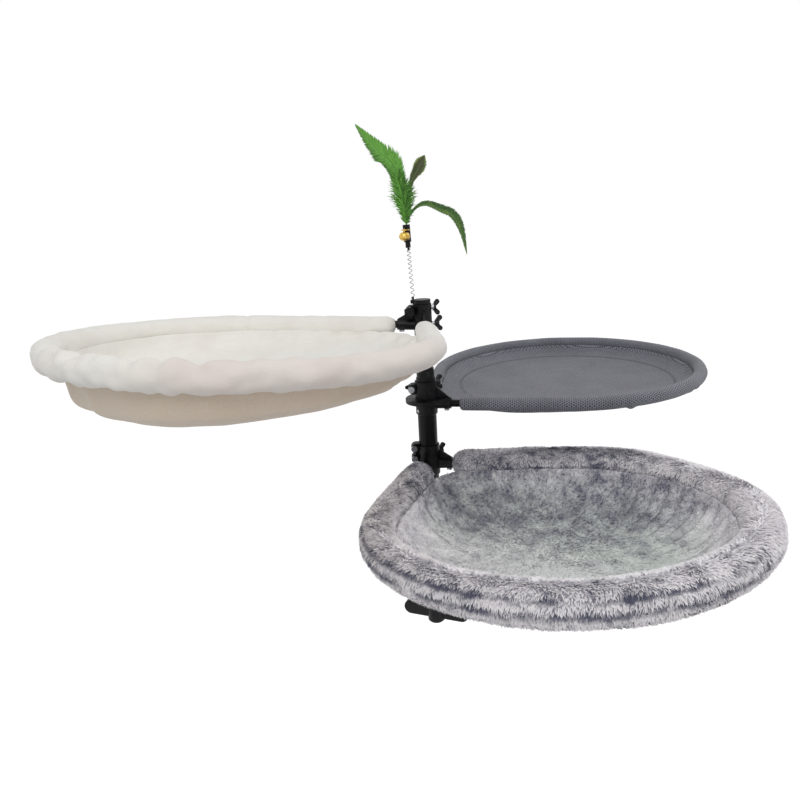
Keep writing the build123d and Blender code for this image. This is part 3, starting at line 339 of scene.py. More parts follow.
def unit(ways, spare=0.0):
    """Directions at length 1. A spare length keeps one that has none from failing."""
    return ways / (np.linalg.norm(ways, axis=1, keepdims=True) + spare)


def bed_place(bed):
    """The matrix that puts a bed's own plane at its place on the mast."""
    out = heading(bed.facing)
    up = Vector((0, 0, 1))
    along = out * cos(bed.rise) + up * sin(bed.rise)
    normal = up * cos(bed.rise) - out * sin(bed.rise)
    across = normal.cross(along)
    turned = Matrix((along, across, normal)).transposed().to_4x4()
    return Matrix.Translation((0, 0, bed.height)) @ turned


def put(points, matrix):
    """Points moved by a matrix."""
    turn = np.array(matrix.to_3x3())
    return points @ turn.T + np.array(matrix.translation)


def hoop_line(hoops, start, steps):
    """The teardrop of a hoop in its own plane: places, outward directions and lengths."""
    half = asin(hoops.radius / hoops.centre)
    arm = sqrt(hoops.centre**2 - hoops.radius**2)
    run = arm - start
    arc = hoops.radius * (pi + 2 * half)
    walked = np.linspace(0, 2 * run + arc, steps)
    turn = pi / 2 + half - (walked - run) / hoops.radius
    out = np.where(walked < run, start + walked, arm - (walked - run - arc))
    side = np.where(walked < run, 1, -1)
    on_arm = (walked < run) | (walked > run + arc)
    x = np.where(on_arm, out * cos(half), hoops.centre + hoops.radius * np.cos(turn))
    y = np.where(on_arm, side * out * sin(half), hoops.radius * np.sin(turn))
    outward_x = np.where(on_arm, -sin(half), np.cos(turn))
    outward_y = np.where(on_arm, side * cos(half), np.sin(turn))
    return np.stack([x, y], axis=-1), np.stack([outward_x, outward_y], axis=-1), walked


def rim_roll(name, bed, hoops, end_length, swell):
    """The cloth roll round a hoop, gathered onto the tube at both its ends."""
    place, outward, walked = hoop_line(hoops, bed.roll_start, hoops.along)
    turn = np.linspace(0, 2 * pi, hoops.around, endpoint=False)
    from_end = np.minimum(walked, walked[-1] - walked)
    gathers, gather_depth, neck_bluntness = 9, 0.10, 0.45
    neck = np.sin(np.clip(from_end / end_length, 0, 1) * pi / 2) ** neck_bluntness
    gather = 1 + gather_depth * (1 - neck[:, None]) * np.cos(gathers * turn)[None, :]
    radius = bed.roll_radius * neck[:, None] * gather * swell(walked[:, None], turn[None, :])
    out = radius * np.cos(turn)
    points = np.stack([
        place[:, None, 0] + outward[:, None, 0] * out,
        place[:, None, 1] + outward[:, None, 1] * out,
        radius * np.sin(turn) - bed.roll_droop * neck[:, None],
    ], axis=-1)
    around_uv = np.linspace(0, 2 * pi * bed.roll_radius, hoops.around + 1)
    across_uv, along_uv = np.meshgrid(around_uv, walked)
    piece = grid_piece(name, put(points, bed_place(bed)), across_uv, along_uv, wrap_columns=True)
    weld(piece)
    return piece


def drop_radius(hoops, turn, round_radius, throat_centre, throat_radius, bulge):
    """How far a level of the hanging cloth reaches from the middle of the round, for each direction."""
    spread = hoops.centre - throat_centre
    lean = pi / 2 + np.arcsin((round_radius - throat_radius) / spread)
    straight = np.sqrt(spread**2 - (round_radius - throat_radius) ** 2)
    steepest = pi / 2.2
    away = off_axis(turn)
    past = np.clip(away - lean, 0, steepest)
    run = round_radius * np.tan(past)
    side = round_radius / np.cos(past)
    inside = np.clip(throat_radius**2 - (spread * np.sin(away)) ** 2, 0, None)
    throat = spread * np.cos(pi - away) + np.sqrt(inside)
    from_throat = np.clip(1 - run / straight, 0, 1)
    folds = (0.0, 0.2, 0.5, 1.0)
    wave = np.zeros_like(from_throat)
    for number, (near, far) in enumerate(zip(folds, folds[1:])):
        within = (from_throat >= near) & (from_throat < far)
        sway = np.sin(pi * (from_throat - near) / (far - near)) * (far - near)
        wave = np.where(within, sway * (1 if number % 2 else -1), wave)
    side = side + wave * bulge * straight
    return np.where(away < lean, round_radius, np.where(run < straight, side, throat))


def hanging_cloth(name, bed, hoops, sizes, pleats):
    """The cloth that hangs in a hoop from its roll to its middle, with its own thickness."""
    depths = (0.0, 0.30, 0.62, 0.86, 0.97, 1.0)
    pulls = (1.0, 0.95, 0.75, 0.45, 0.20, 0.10)
    throats = (1.0, 1.12, 1.33, 1.24, 1.0, 0.76)
    strengths = (0.0, 0.4, 1.0, 1.0, 0.8, 0.5)
    half = asin(hoops.radius / hoops.centre)
    seat = (bed.roll_radius + hoops.seat_gap) * sin(bed.seat_angle)
    aside = (bed.roll_radius + hoops.seat_gap) * cos(bed.seat_angle)
    top_radius = hoops.radius - aside
    top_throat = (hoops.throat_reach * sin(half) - aside) / (1 - sin(half))
    longest_pull = hoops.centre - top_radius - hoops.throat_reach
    last = len(depths) - 1
    floor_share, free_level = 0.35, 1.2
    ring = np.linspace(0, last * (1 + floor_share), hoops.rings)[:, None]
    level = np.minimum(ring, last)
    inward = np.clip((ring - last) / (floor_share * last), 0, 1)
    turn = np.linspace(0, 2 * pi, hoops.spokes, endpoint=False)[None, :]
    round_radius = top_radius * eased(sizes, level)
    throat_radius = top_throat * eased(throats, level)
    throat_centre = hoops.centre - round_radius - eased(pulls, level) * longest_pull + throat_radius
    bulge = eased(strengths, level) * bed.fold_share
    reach = drop_radius(hoops, turn, round_radius, throat_centre, throat_radius, bulge)
    x = hoops.centre + reach * (1 - inward) * np.cos(turn)
    y = reach * (1 - inward) * np.sin(turn)
    depth = bed.bowl_depth + bed.bowl_tilt * (x - hoops.centre) / hoops.radius
    height = -seat - eased(depths, level) * depth
    free = np.clip(level / free_level, 0, 1) * (1 - inward)
    shift = pleats(turn + 0 * ring, ring / last + 0 * turn) * free
    x = x + shift * np.cos(turn)
    y = y + shift * np.sin(turn)
    points = np.stack([x, y, height], axis=-1)
    columns = np.append(np.arange(hoops.spokes), 0)
    across_uv, along_uv = x[:, columns], y[:, columns]
    piece = grid_piece(name, put(points, bed_place(bed)), across_uv, along_uv, wrap_columns=True)
    weld(piece)
    edit_whole(piece, bpy.ops.mesh.normals_make_consistent, inside=False)
    lowest = min(piece.data.polygons, key=lambda face: face.center.z)
    if lowest.normal.z > 0:
        piece.data.flip_normals()
    outer_points = len(piece.data.vertices)
    apply_modifier(piece, "SOLIDIFY", thickness=hoops.cloth_thickness, offset=-1, use_even_offset=False)
    piece.data.shade_smooth()
    mark(piece, "outside", np.arange(len(piece.data.vertices)) < outer_points)
    return piece


# Blades: fur, barbs and loose threads


def blade_shape():
    """A pointed blade one unit wide and long, modelled once and copied for each tuft and barb."""
    deselect()
    bpy.ops.mesh.primitive_grid_add(x_subdivisions=1, y_subdivisions=2, size=1, location=(0, 0.5, 0))
    blade = bpy.context.object
    bpy.ops.object.transform_apply(location=True, rotation=True, scale=True)
    bpy.ops.object.mode_set(mode="EDIT")
    bpy.ops.mesh.select_all(action="DESELECT")
    bpy.ops.object.mode_set(mode="OBJECT")
    for point in blade.data.vertices:
        point.select = point.co.y > 0.9
    bpy.ops.object.mode_set(mode="EDIT")
    bpy.ops.mesh.merge(type="CENTER")
    bpy.ops.object.mode_set(mode="OBJECT")
    shape = np.array([point.co[:2] for point in blade.data.vertices])
    faces = [tuple(face.vertices) for face in blade.data.polygons]
    bpy.data.objects.remove(blade)
    return shape, faces


def grow_blades(blade, roots, first_way, last_way, lengths, widths, faces_way=None):
    """One bent blade for each root, from its first way to its last way, its flat side to faces_way."""
    shape, faces = blade
    along = shape[None, :, 1, None]
    middle = roots + first_way * (lengths * 0.5)[:, None]
    tip = middle + last_way * (lengths * 0.5)[:, None]
    side = np.cross(first_way, last_way + 0.001 if faces_way is None else faces_way)
    side = unit(side, TINY)
    line = ((1 - along) ** 2 * roots[:, None] + 2 * along * (1 - along) * middle[:, None]
            + along**2 * tip[:, None])
    points = line + shape[None, :, 0, None] * widths[:, None, None] * side[:, None]
    starts = np.arange(len(roots)) * len(shape)
    all_faces = [tuple(start + corner for corner in face) for start in starts.tolist() for face in faces]
    heights = np.broadcast_to(shape[None, :, 1], (len(roots), len(shape)))
    return points.reshape(-1, 3), all_faces, heights.copy()


def add_blades(piece, grown, attribute, blade_values, piece_values):
    """Joins grown blades to a piece. The attribute tells the finish where it is on a blade."""
    points, faces, _ = grown
    mark(piece, attribute, piece_values)
    blades = mesh_piece(piece.name + "_blades", points, faces)
    blades.data.uv_layers.new(name="UVMap")
    mark(blades, attribute, blade_values)
    deselect()
    blades.select_set(True)
    piece.select_set(True)
    bpy.context.view_layer.objects.active = piece
    bpy.ops.object.join()


def scatter(piece, number, chance):
    """Chance places on a piece's skin, with the normals there."""
    mesh = piece.data
    mesh.calc_loop_triangles()
    corners = np.zeros(len(mesh.loop_triangles) * 3, np.int32)
    mesh.loop_triangles.foreach_get("vertices", corners)
    corners = corners.reshape(-1, 3)
    places = read_points(mesh, "co")
    normals = read_points(mesh, "normal")
    first, second, third = (places[corners[:, index]] for index in range(3))
    areas = np.linalg.norm(np.cross(second - first, third - first), axis=1)
    chosen = chance.choice(len(areas), number, p=areas / areas.sum())
    a, b = chance.random((2, number, 1))
    swap = a + b > 1
    a = np.where(swap, 1 - a, a)
    b = np.where(swap, 1 - b, b)
    roots = first[chosen] + a * (second - first)[chosen] + b * (third - first)[chosen]
    normal = sum(normals[corners[chosen, index]] for index in range(3))
    return roots, unit(normal)


# Words for wiring finishes


def new_finish(name, roughness, **constants):
    """A material with its shader, the same values all over on the shader's own sockets."""
    material = bpy.data.materials.new(name)
    material.use_nodes = True
    shader = material.node_tree.nodes["Principled BSDF"]
    shader.inputs["Roughness"].default_value = roughness
    for key, value in constants.items():
        shader.inputs[key.replace("_", " ").title().replace("Ior", "IOR")].default_value = value
    return material, material.node_tree, shader


def wire(tree, kind, inputs, output=0, **settings):
    """Adds a node, sets or links its inputs, and gives back one output."""
    node = tree.nodes.new(kind)
    for key, value in settings.items():
        setattr(node, key, value)
    for key, value in inputs.items():
        if isinstance(value, bpy.types.NodeSocket):
            tree.links.new(value, node.inputs[key])
        else:
            node.inputs[key].default_value = value
    return node.outputs[output]


def object_place(tree):
    """The place on the object, in metres."""
    return wire(tree, "ShaderNodeTexCoord", {}, output="Object")


def marked(tree, attribute):
    """The value that each point of the piece was marked with."""
    return wire(tree, "ShaderNodeAttribute", {}, output="Fac", attribute_name=attribute)


def vector_step(tree, operation, first, second=(0, 0, 0), output=0):
    """One step of arithmetic on a vector."""
    return wire(tree, "ShaderNodeVectorMath", {0: first, 1: second}, output=output, operation=operation)


def lumps(tree, vector, size, detail=3.0, stretch=None):
    """Noise with lumps of about the given size in metres."""
    if stretch:
        vector = wire(tree, "ShaderNodeMapping", {"Vector": vector, "Scale": stretch})
    return wire(tree, "ShaderNodeTexNoise", {"Vector": vector, "Scale": 1 / size, "Detail": detail})


def sums(tree, operation, first, second=0.0):
    """One step of arithmetic on two values."""
    return wire(tree, "ShaderNodeMath", {0: first, 1: second}, operation=operation)


def spread(tree, value, low, high, new_low=0.0, new_high=1.0):
    """A value stretched from one range to another, and kept in it."""
    return wire(tree, "ShaderNodeMapRange", {"Value": value, "From Min": low, "From Max": high,
                                             "To Min": new_low, "To Max": new_high})


def blend_colours(tree, factor, first, second):
    """A mix of two colours."""
    full = [value if isinstance(value, bpy.types.NodeSocket) else (*value, 1) for value in (first, second)]
    return wire(tree, "ShaderNodeMix", {"Factor": factor, 6: full[0], 7: full[1]}, output=2, data_type="RGBA")


def relief(tree, height, strength, distance, under=None):
    """Bumps from a height, laid over the bumps below."""
    inputs = {"Height": height, "Strength": strength, "Distance": distance}
    if under:
        inputs["Normal"] = under
    return wire(tree, "ShaderNodeBump", inputs)


def finish_with(tree, shader, base, normal, roughness=None):
    """Links the colour, the bumps and, where it varies, the roughness to the shader."""
    tree.links.new(base, shader.inputs["Base Color"])
    tree.links.new(normal, shader.inputs["Normal"])
    if roughness:
        tree.links.new(roughness, shader.inputs["Roughness"])


# Finishes of the cloth and fur


def white_plush(bed):
    """Short dense pile: cream, with turned patches, fine fibres and soft dents, with painted shade in a
    darker, pinker tone on the front of the rim and in tan on the outside of the bowl.
    """
    material, tree, shader = new_finish("white_plush", 0.95, sheen_weight=0.3, sheen_roughness=0.5)
    place = object_place(tree)
    patches = lumps(tree, place, 0.045)
    fibres = lumps(tree, place, 0.0014, detail=2.0)
    dents = lumps(tree, place, 0.011, detail=3.0)
    apart = wire(tree, "ShaderNodeSeparateXYZ", {"Vector": place}, output="Y")
    # Painted shade: a darker, pinker tone painted on the front of the rim, the side towards the camera
    front = spread(tree, apart, -0.14, -0.20, 0.0, 0.55)
    patches_and_front_shade = sums(tree, "ADD", front, spread(tree, patches, 0.45, 0.75, 0.0, 0.3))
    base = blend_colours(tree, patches_and_front_shade, bed.cream, bed.blush_and_front_shade)
    # Painted shade: the outside face of the bowl is painted tan
    base = blend_colours(tree, sums(tree, "MULTIPLY", marked(tree, "outside"), 0.8), base, bed.tan)
    shade = tuple(level * 0.88 for level in bed.cream)
    base = blend_colours(tree, spread(tree, fibres, 0.5, 0.72, 0.0, 0.45), base, shade)
    normal = relief(tree, fibres, 0.4, 0.0010)
    normal = relief(tree, dents, 0.22, 0.0015, normal)
    finish_with(tree, shader, base, normal)
    return material


def hole_distance(tree, uv, pitch):
    """Distance from the middle of the nearest hole, the holes in a honeycomb, in pitches."""
    row = sqrt(3)
    scaled = vector_step(tree, "MULTIPLY", uv, (1 / pitch, 1 / (pitch * row), 0))
    distances = []
    for shift in ((0, 0, 0), (0.5, 0.5, 0)):
        cell = vector_step(tree, "FRACTION", vector_step(tree, "ADD", scaled, shift))
        centred = vector_step(tree, "SUBTRACT", cell, (0.5, 0.5, 0))
        square = vector_step(tree, "MULTIPLY", centred, (1, row, 0))
        distances.append(vector_step(tree, "LENGTH", square, output="Value"))
    return sums(tree, "MINIMUM", *distances)


def grey_mesh(bed):
    """Spacer mesh: a honeycomb of holes in a soft blue-grey yarn, with painted shade in the holes and a dark
    stitched seam.
    """
    material, tree, shader = new_finish("grey_mesh", 0.75, sheen_weight=0.25, sheen_roughness=0.4)
    place = object_place(tree)
    uv = wire(tree, "ShaderNodeTexCoord", {}, output="UV")
    holes = hole_distance(tree, uv, bed.hole_pitch)
    yarn = lumps(tree, place, 0.0012, detail=2.0)
    patches = lumps(tree, place, 0.045)
    soft = tuple(level * 0.80 for level in bed.thread)
    thread = blend_colours(tree, spread(tree, patches, 0.35, 0.70), bed.thread, soft)
    rough = sums(tree, "ADD", holes, spread(tree, yarn, 0.3, 0.7, -0.06, 0.06))
    # Painted shade: the holes are painted dark
    base = blend_colours(tree, spread(tree, rough, 0.22, 0.36), bed.depth, thread)
    normal = relief(tree, spread(tree, rough, 0.16, 0.42), 0.9, 0.0012)
    seam = marked(tree, "seam")
    base = blend_colours(tree, sums(tree, "MULTIPLY", seam, 0.75), base, bed.depth)
    normal = relief(tree, seam, -0.8, 0.0015, normal)
    finish_with(tree, shader, base, normal)
    return material


def frosted_fur(name, bed):
    """Two-tone fur: navy at the roots, frosted at the tips, greener down in the bowl."""
    material, tree, shader = new_finish(name, 0.9, sheen_weight=0.2, sheen_roughness=0.5)
    place = object_place(tree)
    patches = lumps(tree, place, 0.022, detail=4.0)
    hairs = lumps(tree, place, 0.0016, detail=2.0)
    # The pile mark also carries the painted shade and painted light of the fur
    height = sums(tree, "ADD", marked(tree, "pile"), spread(tree, patches, 0.3, 0.7, -0.16, 0.16))
    height = sums(tree, "ADD", height, spread(tree, hairs, 0.3, 0.7, -0.10, 0.10))
    upright = wire(tree, "ShaderNodeSeparateXYZ", {"Vector": place}, output="Z")
    aside = wire(tree, "ShaderNodeSeparateXYZ", {"Vector": place}, output="X")
    rightwards = spread(tree, aside, -0.12, 0.02, 0.25, 1.0)
    greener = sums(tree, "MULTIPLY", spread(tree, upright, 0.095, 0.055), rightwards)
    tip = blend_colours(tree, greener, bed.frost, bed.sage)
    base = blend_colours(tree, spread(tree, height, 0.02, 0.66), bed.navy, tip)
    normal = relief(tree, hairs, 0.4, 0.0012)
    finish_with(tree, shader, base, normal)
    return material


# The three beds, and how the round of each one's cloth narrows from the rim down

WHITE_SIZES = (1.0, 0.98, 0.93, 0.75, 0.60, 0.42)
GREY_SIZES = (1.0, 0.975, 0.90, 0.74, 0.56, 0.40)
FURRY_SIZES = (1.0, 0.955, 0.86, 0.69, 0.50, 0.32)


def roll_skin(walked, turn, radius):
    """Places on a roll's skin with the roll laid out straight, for lumps that run round it."""
    walked, turn = np.broadcast_arrays(walked, turn)
    return np.stack([walked, radius * np.cos(turn), radius * np.sin(turn)], axis=-1)


def bowl_skin(turn, down, stretch):
    """Places on a bowl's cloth, for waves that run round it and down it."""
    return np.stack([np.cos(turn), np.sin(turn), stretch * down], axis=-1)


def white_swell(walked, turn):
    """How the white roll swells and creases along its length."""
    skin = roll_skin(walked, turn, 0.016)
    lumpy = 0.06 * ripple(skin, (0.05, 0.02, 0.02), 3) + 0.07 * ripple(skin, (0.018, 0.012, 0.012), 8)
    upper = hill(turn, pi / 2, 1.3)
    far_end = hill(walked, 0.52, 0.17)
    groove_pitch = 0.037
    phase = walked / groove_pitch * 2 * pi + 1.3 * np.sin(turn) + 5 * ripple(skin, (0.05, 1, 1), 6)
    grooves = 0.5 + 0.5 * np.cos(phase)
    creases = (grooves**3 - 0.3) * far_end * (0.35 + 0.65 * upper)
    low_back = hill(walked, 0.85, 0.16) * upper
    seam = hill(walked, 1.00, 0.0022)
    crumple = far_end * ripple(skin, (0.011, 0.016, 0.016), 14)
    return 1 + lumpy - 0.20 * creases + 0.24 * crumple - 0.06 * low_back - 0.12 * seam


def white_pleats(turn, down):
    """Soft upright drapes in the white bowl, tighter towards the throat."""
    tucks = 46
    throat = np.clip((off_axis(turn) - 2.0) / 1.1, 0, 1)
    skin = bowl_skin(turn, down, 0.35)
    drape = ripple(skin, (0.22, 0.22, 0.28), 5) * 0.0065
    fine = np.cos(turn * tucks + 3 * ripple(skin, (0.5, 0.5, 0.5), 2)) * np.exp(-down * 3.2) * 0.0012
    return drape + fine + throat * np.cos(turn * tucks) * 0.0042 * np.exp(-down * 1.6)


def grey_swell(walked, turn):
    """The grey sleeve is close to its tube, with small puckers."""
    puckers = sum(hill(walked, place, 0.010) for place in (0.84, 0.96))
    under = hill(turn, 1.6 * pi, 0.8)
    lumpy = 0.05 * ripple(roll_skin(walked, turn, 0.009), (0.03, 0.01, 0.01), 4)
    return 1 + lumpy + 0.30 * puckers * under * np.cos(walked / 0.004)


def grey_pleats(turn, down):
    """Slight waves at the edge of the grey sling."""
    return ripple(bowl_skin(turn, down, 1), (0.2, 0.2, 0.5), 6) * 0.0016


def mark_seam(piece, bed, hoops):
    """Marks the stitched line of the border ring, which runs inside the rim all the way round."""
    seam_width = 0.0016
    lowest = -0.030
    local = put(read_points(piece.data, "co"), bed_place(bed).inverted())
    out = np.hypot(local[:, 0] - hoops.centre, local[:, 1])
    line = hoops.radius - bed.roll_radius - bed.border_width
    mark(piece, "seam", hill(out, line, seam_width) * (local[:, 2] > lowest))


def furry_swell(walked, turn):
    """The furry roll is thick and uneven."""
    skin = roll_skin(walked, turn, 0.020)
    upper = hill(turn, pi / 2, 1.4)
    low_right = hill(walked, 0.33, 0.07) * upper
    low_left = hill(walked, 1.04, 0.08) * upper
    under = hill(turn, 1.5 * pi, 1.2)
    lumpy = 0.05 * ripple(skin, (0.06, 0.03, 0.03), 9) + 0.03 * ripple(skin, (0.02, 0.01, 0.01), 1)
    return 0.85 + 0.05 * under + lumpy - 0.22 * low_right - 0.20 * low_left


def furry_pleats(turn, down):
    """Radial pleats and loose folds in the furry bowl."""
    throat = np.clip((off_axis(turn) - 1.7) / 1.2, 0, 1)
    skin = bowl_skin(turn, down, 0.3)
    drape = ripple(skin, (0.22, 0.22, 0.3), 7) * 0.0065
    radial = np.cos(turn * 34 + 4 * ripple(skin, (0.6, 0.6, 0.6), 3)) * hill(down, 0.4, 0.4)
    gathered = hill(np.mod(turn, 2 * pi), 1.3, 0.7) * hill(down, 0.35, 0.3)
    return drape + radial * (0.0008 + 0.0022 * throat) + gathered * np.cos(turn * 52) * 0.0040


def add_tie_tails(bowl, bed, hoops):
    """The frayed ends of the cloth that is gathered at the throat, hanging down beside the mast."""
    number = 46
    half_spread = 0.007
    below_seat = 0.002
    chance = np.random.default_rng(4)
    place = bed_place(bed)
    seat = (bed.roll_radius + hoops.seat_gap) * sin(bed.seat_angle)
    along = hoops.throat_reach * chance.uniform(0.93, 1.03, number)
    aside = chance.uniform(-half_spread, half_spread, number)
    roots = put(np.stack([along, aside, np.full(number, -seat - below_seat)], axis=-1), place)
    to_mast = chance.normal((-0.75, -0.15, -0.4), (0.05, 0.12, 0.10), (number, 3))
    to_mast = to_mast @ np.array(place.to_3x3()).T
    down = chance.normal((0, 0, -1), 0.10, (number, 3))
    lengths = hoops.throat_reach * chance.uniform(1.1, 1.4, number)
    grown = grow_blades(blade_shape(), roots, to_mast, down, lengths, chance.uniform(0.0012, 0.0026, number))
    outside = np.zeros(len(bowl.data.vertices), np.float32)
    bowl.data.attributes["outside"].data.foreach_get("value", outside)
    add_blades(bowl, grown, "outside", 0 * grown[2], outside)


class HAMMOCK_OT_white_bed(bpy.types.Operator):
    """Makes the white plush roll and bowl"""

    bl_idname = "hammock.white_bed"
    bl_label = "White bed"

    def execute(self, context):
        bed, hoops = context.scene.hammock_white, context.scene.hammock_hoops
        plush = white_plush(bed)
        roll = rim_roll("white_plush_roll", bed, hoops, end_length=0.016, swell=white_swell)
        bowl = hanging_cloth("white_plush_bowl", bed, hoops, WHITE_SIZES, white_pleats)
        add_tie_tails(bowl, bed, hoops)
        for piece, node in ((roll, "white_rim_sleeve"), (bowl, "white_bowl")):
            piece.data.materials.append(plush)
            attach(piece, "white_bed")
            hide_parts(node)
        return {"FINISHED"}


class HAMMOCK_OT_grey_bed(bpy.types.Operator):
    """Makes the grey mesh sleeve and sling"""

    bl_idname = "hammock.grey_bed"
    bl_label = "Grey bed"

    def execute(self, context):
        bed, hoops = context.scene.hammock_grey, context.scene.hammock_hoops
        spacer = grey_mesh(bed)
        sleeve = rim_roll("grey_mesh_sleeve", bed, hoops, end_length=0.006, swell=grey_swell)
        sling = hanging_cloth("grey_mesh_sling", bed, hoops, GREY_SIZES, grey_pleats)
        for piece, node in ((sleeve, "grey_rim_sleeve"), (sling, "grey_sling")):
            piece.data.materials.append(spacer)
            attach(piece, "grey_bed")
            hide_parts(node)
        mark_seam(sling, bed, hoops)
        return {"FINISHED"}


def cover_with_fur(piece, bed, number, pile, chance, comb, streaks, floor_tone):
    """Grows tufts all over a piece, combed one way, darker along its streaks and where shade is painted,
    lighter where light is painted.
    """
    swirl_size = 0.022
    swirl_share = 1.1
    looseness = 0.35
    root_depth = 0.0006
    roots, normal = scatter(piece, number, chance)
    swirl = np.stack([ripple(roots, swirl_size, seed) for seed in (11, 12, 13)], axis=-1)
    way = comb(roots) + swirl * swirl_share + chance.normal(0, looseness, (number, 3))
    way = unit(way - (way * normal).sum(axis=1, keepdims=True) * normal, TINY)
    # A tuft stands up at its root and lies over towards its tip
    first = normal * 0.75 + way * 0.65
    last = normal * 0.20 + way * 0.98
    lengths = pile * chance.uniform(0.65, 1.15, number)
    widths = bed.tuft_width * chance.uniform(0.7, 1.2, number)
    grown = grow_blades(blade_shape(), roots - normal * root_depth, first, last, lengths, widths)
    # The darkness holds real streaks together with painted shade and painted light
    dark = streaks(roots)[:, None]
    values = np.clip(grown[2] * (1 - 0.75 * dark) + 0.25 - 0.40 * dark, 0, 1)
    base = floor_tone - 0.45 * streaks(read_points(piece.data, "co"))
    add_blades(piece, grown, "pile", values, np.clip(base, 0, 1))


class FurLie:
    """Which way the fur of the lowest bed is combed, and how dark it is from place to place."""

    def __init__(self, bed, hoops):
        self.hoops = hoops
        self.back = bed_place(bed).inverted()
        self.middle = np.array([hoops.centre, 0])

    def in_bed(self, points):
        """Points in the bed's own plane."""
        return put(points, self.back)

    def in_room(self, ways):
        """Directions in the bed's own plane, turned as the bed stands."""
        return ways @ np.array(self.back.to_3x3())

    def down_the_roll(self, points):
        """Over the roll and down on both its sides."""
        slant = 0.6
        out = self.in_bed(points)[:, :2] - self.middle
        distance = np.linalg.norm(out, axis=1)
        lean = np.sign(distance - self.hoops.radius)[:, None] * out / distance[:, None]
        return self.in_room(np.stack([slant * lean[:, 0], slant * lean[:, 1], -1 + 0 * distance], axis=-1))

    def to_the_middle(self, points):
        """Down the bowl towards its middle."""
        slope, near = 0.6, 0.01
        out = self.middle - self.in_bed(points)[:, :2]
        away = np.linalg.norm(out, axis=1)[:, None] + near
        return self.in_room(np.concatenate([out / away, -slope * np.ones((len(points), 1))], axis=1))

    def far_side(self, local):
        """From -1 to 1: how far a place lies towards the shaded side, behind and to the right."""
        return ((self.hoops.centre - local[:, 0]) * 0.70 + local[:, 1] * 0.71) / self.hoops.radius

    def right_side(self, local):
        """From -1 to 1: how far a place lies towards the side where light is painted on."""
        return ((local[:, 0] - self.hoops.centre) * 0.48 + local[:, 1] * 0.88) / self.hoops.radius

    def roll_streaks_and_shade(self, points):
        """Darkness on the roll: two broken rows round it, small patches, painted shade on its back and
        underneath, and painted light at its right end.
        """
        local = self.in_bed(points)
        out = local[:, :2] - self.middle
        distance = np.linalg.norm(out, axis=1) - self.hoops.radius
        turn = np.arctan2(local[:, 2], distance)
        walked = np.arctan2(out[:, 1], out[:, 0]) * self.hoops.radius
        skin = np.stack([walked, 0.02 * turn, 0 * walked], axis=-1)
        broken = np.clip(0.70 + 1.2 * ripple(skin, (0.025, 0.008, 1), 2), 0, 1)
        patchy = np.clip(ripple(skin, (0.009, 0.005, 1), 5) * 1.8, 0, 1)
        # Painted shade on the back of the roll and underneath it
        back = np.clip(self.far_side(local) / 0.6, 0, 1)
        under = np.clip((-turn - 0.5) / 0.7, 0, 1)
        # Painted light: the roll's right end is made lighter
        painted_light_end = np.clip((self.right_side(local) - 0.55) / 0.3, 0, 1)
        rows = (hill(turn, 0.60, 0.17) + hill(turn, -0.10, 0.19)) * broken * (1 - back)
        tone = 0.85 * rows + 0.40 * patchy + 0.16 + 0.38 * back + 0.20 * under - 0.55 * painted_light_end
        return np.clip(tone, 0, 1)

    def bowl_streaks_and_shade(self, points):
        """Darkness in the bowl: streaky and finely mottled, with a shaded back."""
        local = self.in_bed(points)
        # Painted shade on the back of the bowl
        back = np.clip((self.far_side(local) - 0.15) / 0.40, 0, 1)
        streaky = ripple(local, (0.03, 0.010, 0.02), 6)
        mottled = ripple(local, (0.0035, 0.0035, 0.0035), 4)
        return np.clip(0.30 * streaky + 0.45 * mottled + 0.62 * back + 0.10, 0, 0.95)


class HAMMOCK_OT_furry_bed(bpy.types.Operator):
    """Makes the furry roll and bowl with their tufts"""

    bl_idname = "hammock.furry_bed"
    bl_label = "Furry bed"

    def execute(self, context):
        bed, hoops = context.scene.hammock_furry, context.scene.hammock_hoops
        chance = np.random.default_rng(26)
        lie = FurLie(bed, hoops)
        roll = rim_roll("furry_roll", bed, hoops, end_length=0.018, swell=furry_swell)
        bowl = hanging_cloth("furry_bowl_cloth", bed, hoops, FURRY_SIZES, furry_pleats)
        thinned = 1
        bowl_share = 0.6
        cover_with_fur(roll, bed, bed.roll_tufts // thinned, bed.pile, chance,
                       lie.down_the_roll, lie.roll_streaks_and_shade, floor_tone=0.40)
        cover_with_fur(bowl, bed, bed.bowl_tufts // thinned, bowl_share * bed.pile, chance,
                       lie.to_the_middle, lie.bowl_streaks_and_shade, floor_tone=0.62)
        fur = frosted_fur("frosted_fur", bed)
        roll.data.materials.append(fur)
        bowl.data.materials.append(fur)
        for piece, node in ((roll, "furry_rim_sleeve"), (bowl, "furry_bowl")):
            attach(piece, "furry_bed")
            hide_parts(node)
        return {"FINISHED"}


# Rigid pieces keep their shapes and get their finishes


def black_steel():
    """Powder-coated tube: nearly black, finely pebbled, scuffed in places."""
    material, tree, shader = new_finish("black_steel", 0.45, specular_ior_level=0.15, coat_weight=0.03)
    place = object_place(tree)
    pebbles = lumps(tree, place, 0.0009, detail=2.0)
    scuffs = lumps(tree, place, 0.02, detail=5.0, stretch=(1, 1, 0.25))
    base = blend_colours(tree, spread(tree, scuffs, 0.55, 0.75), paint(6, 6, 9), paint(20, 20, 24))
    roughness = spread(tree, scuffs, 0.4, 0.75, 0.36, 0.55)
    finish_with(tree, shader, base, relief(tree, pebbles, 0.25, 0.0004), roughness)
    return material


def black_plastic():
    """Moulded nylon: charcoal, a faint grain, worn paler where hands turn it."""
    material, tree, shader = new_finish("black_plastic", 0.48, specular_ior_level=0.2, coat_weight=0.03)
    place = object_place(tree)
    grain = lumps(tree, place, 0.0007, detail=2.0)
    worn = lumps(tree, place, 0.012, detail=4.0)
    base = blend_colours(tree, spread(tree, worn, 0.5, 0.72), paint(8, 8, 11), paint(26, 26, 30))
    roughness = spread(tree, worn, 0.35, 0.7, 0.36, 0.58)
    finish_with(tree, shader, base, relief(tree, grain, 0.3, 0.0003), roughness)
    return material


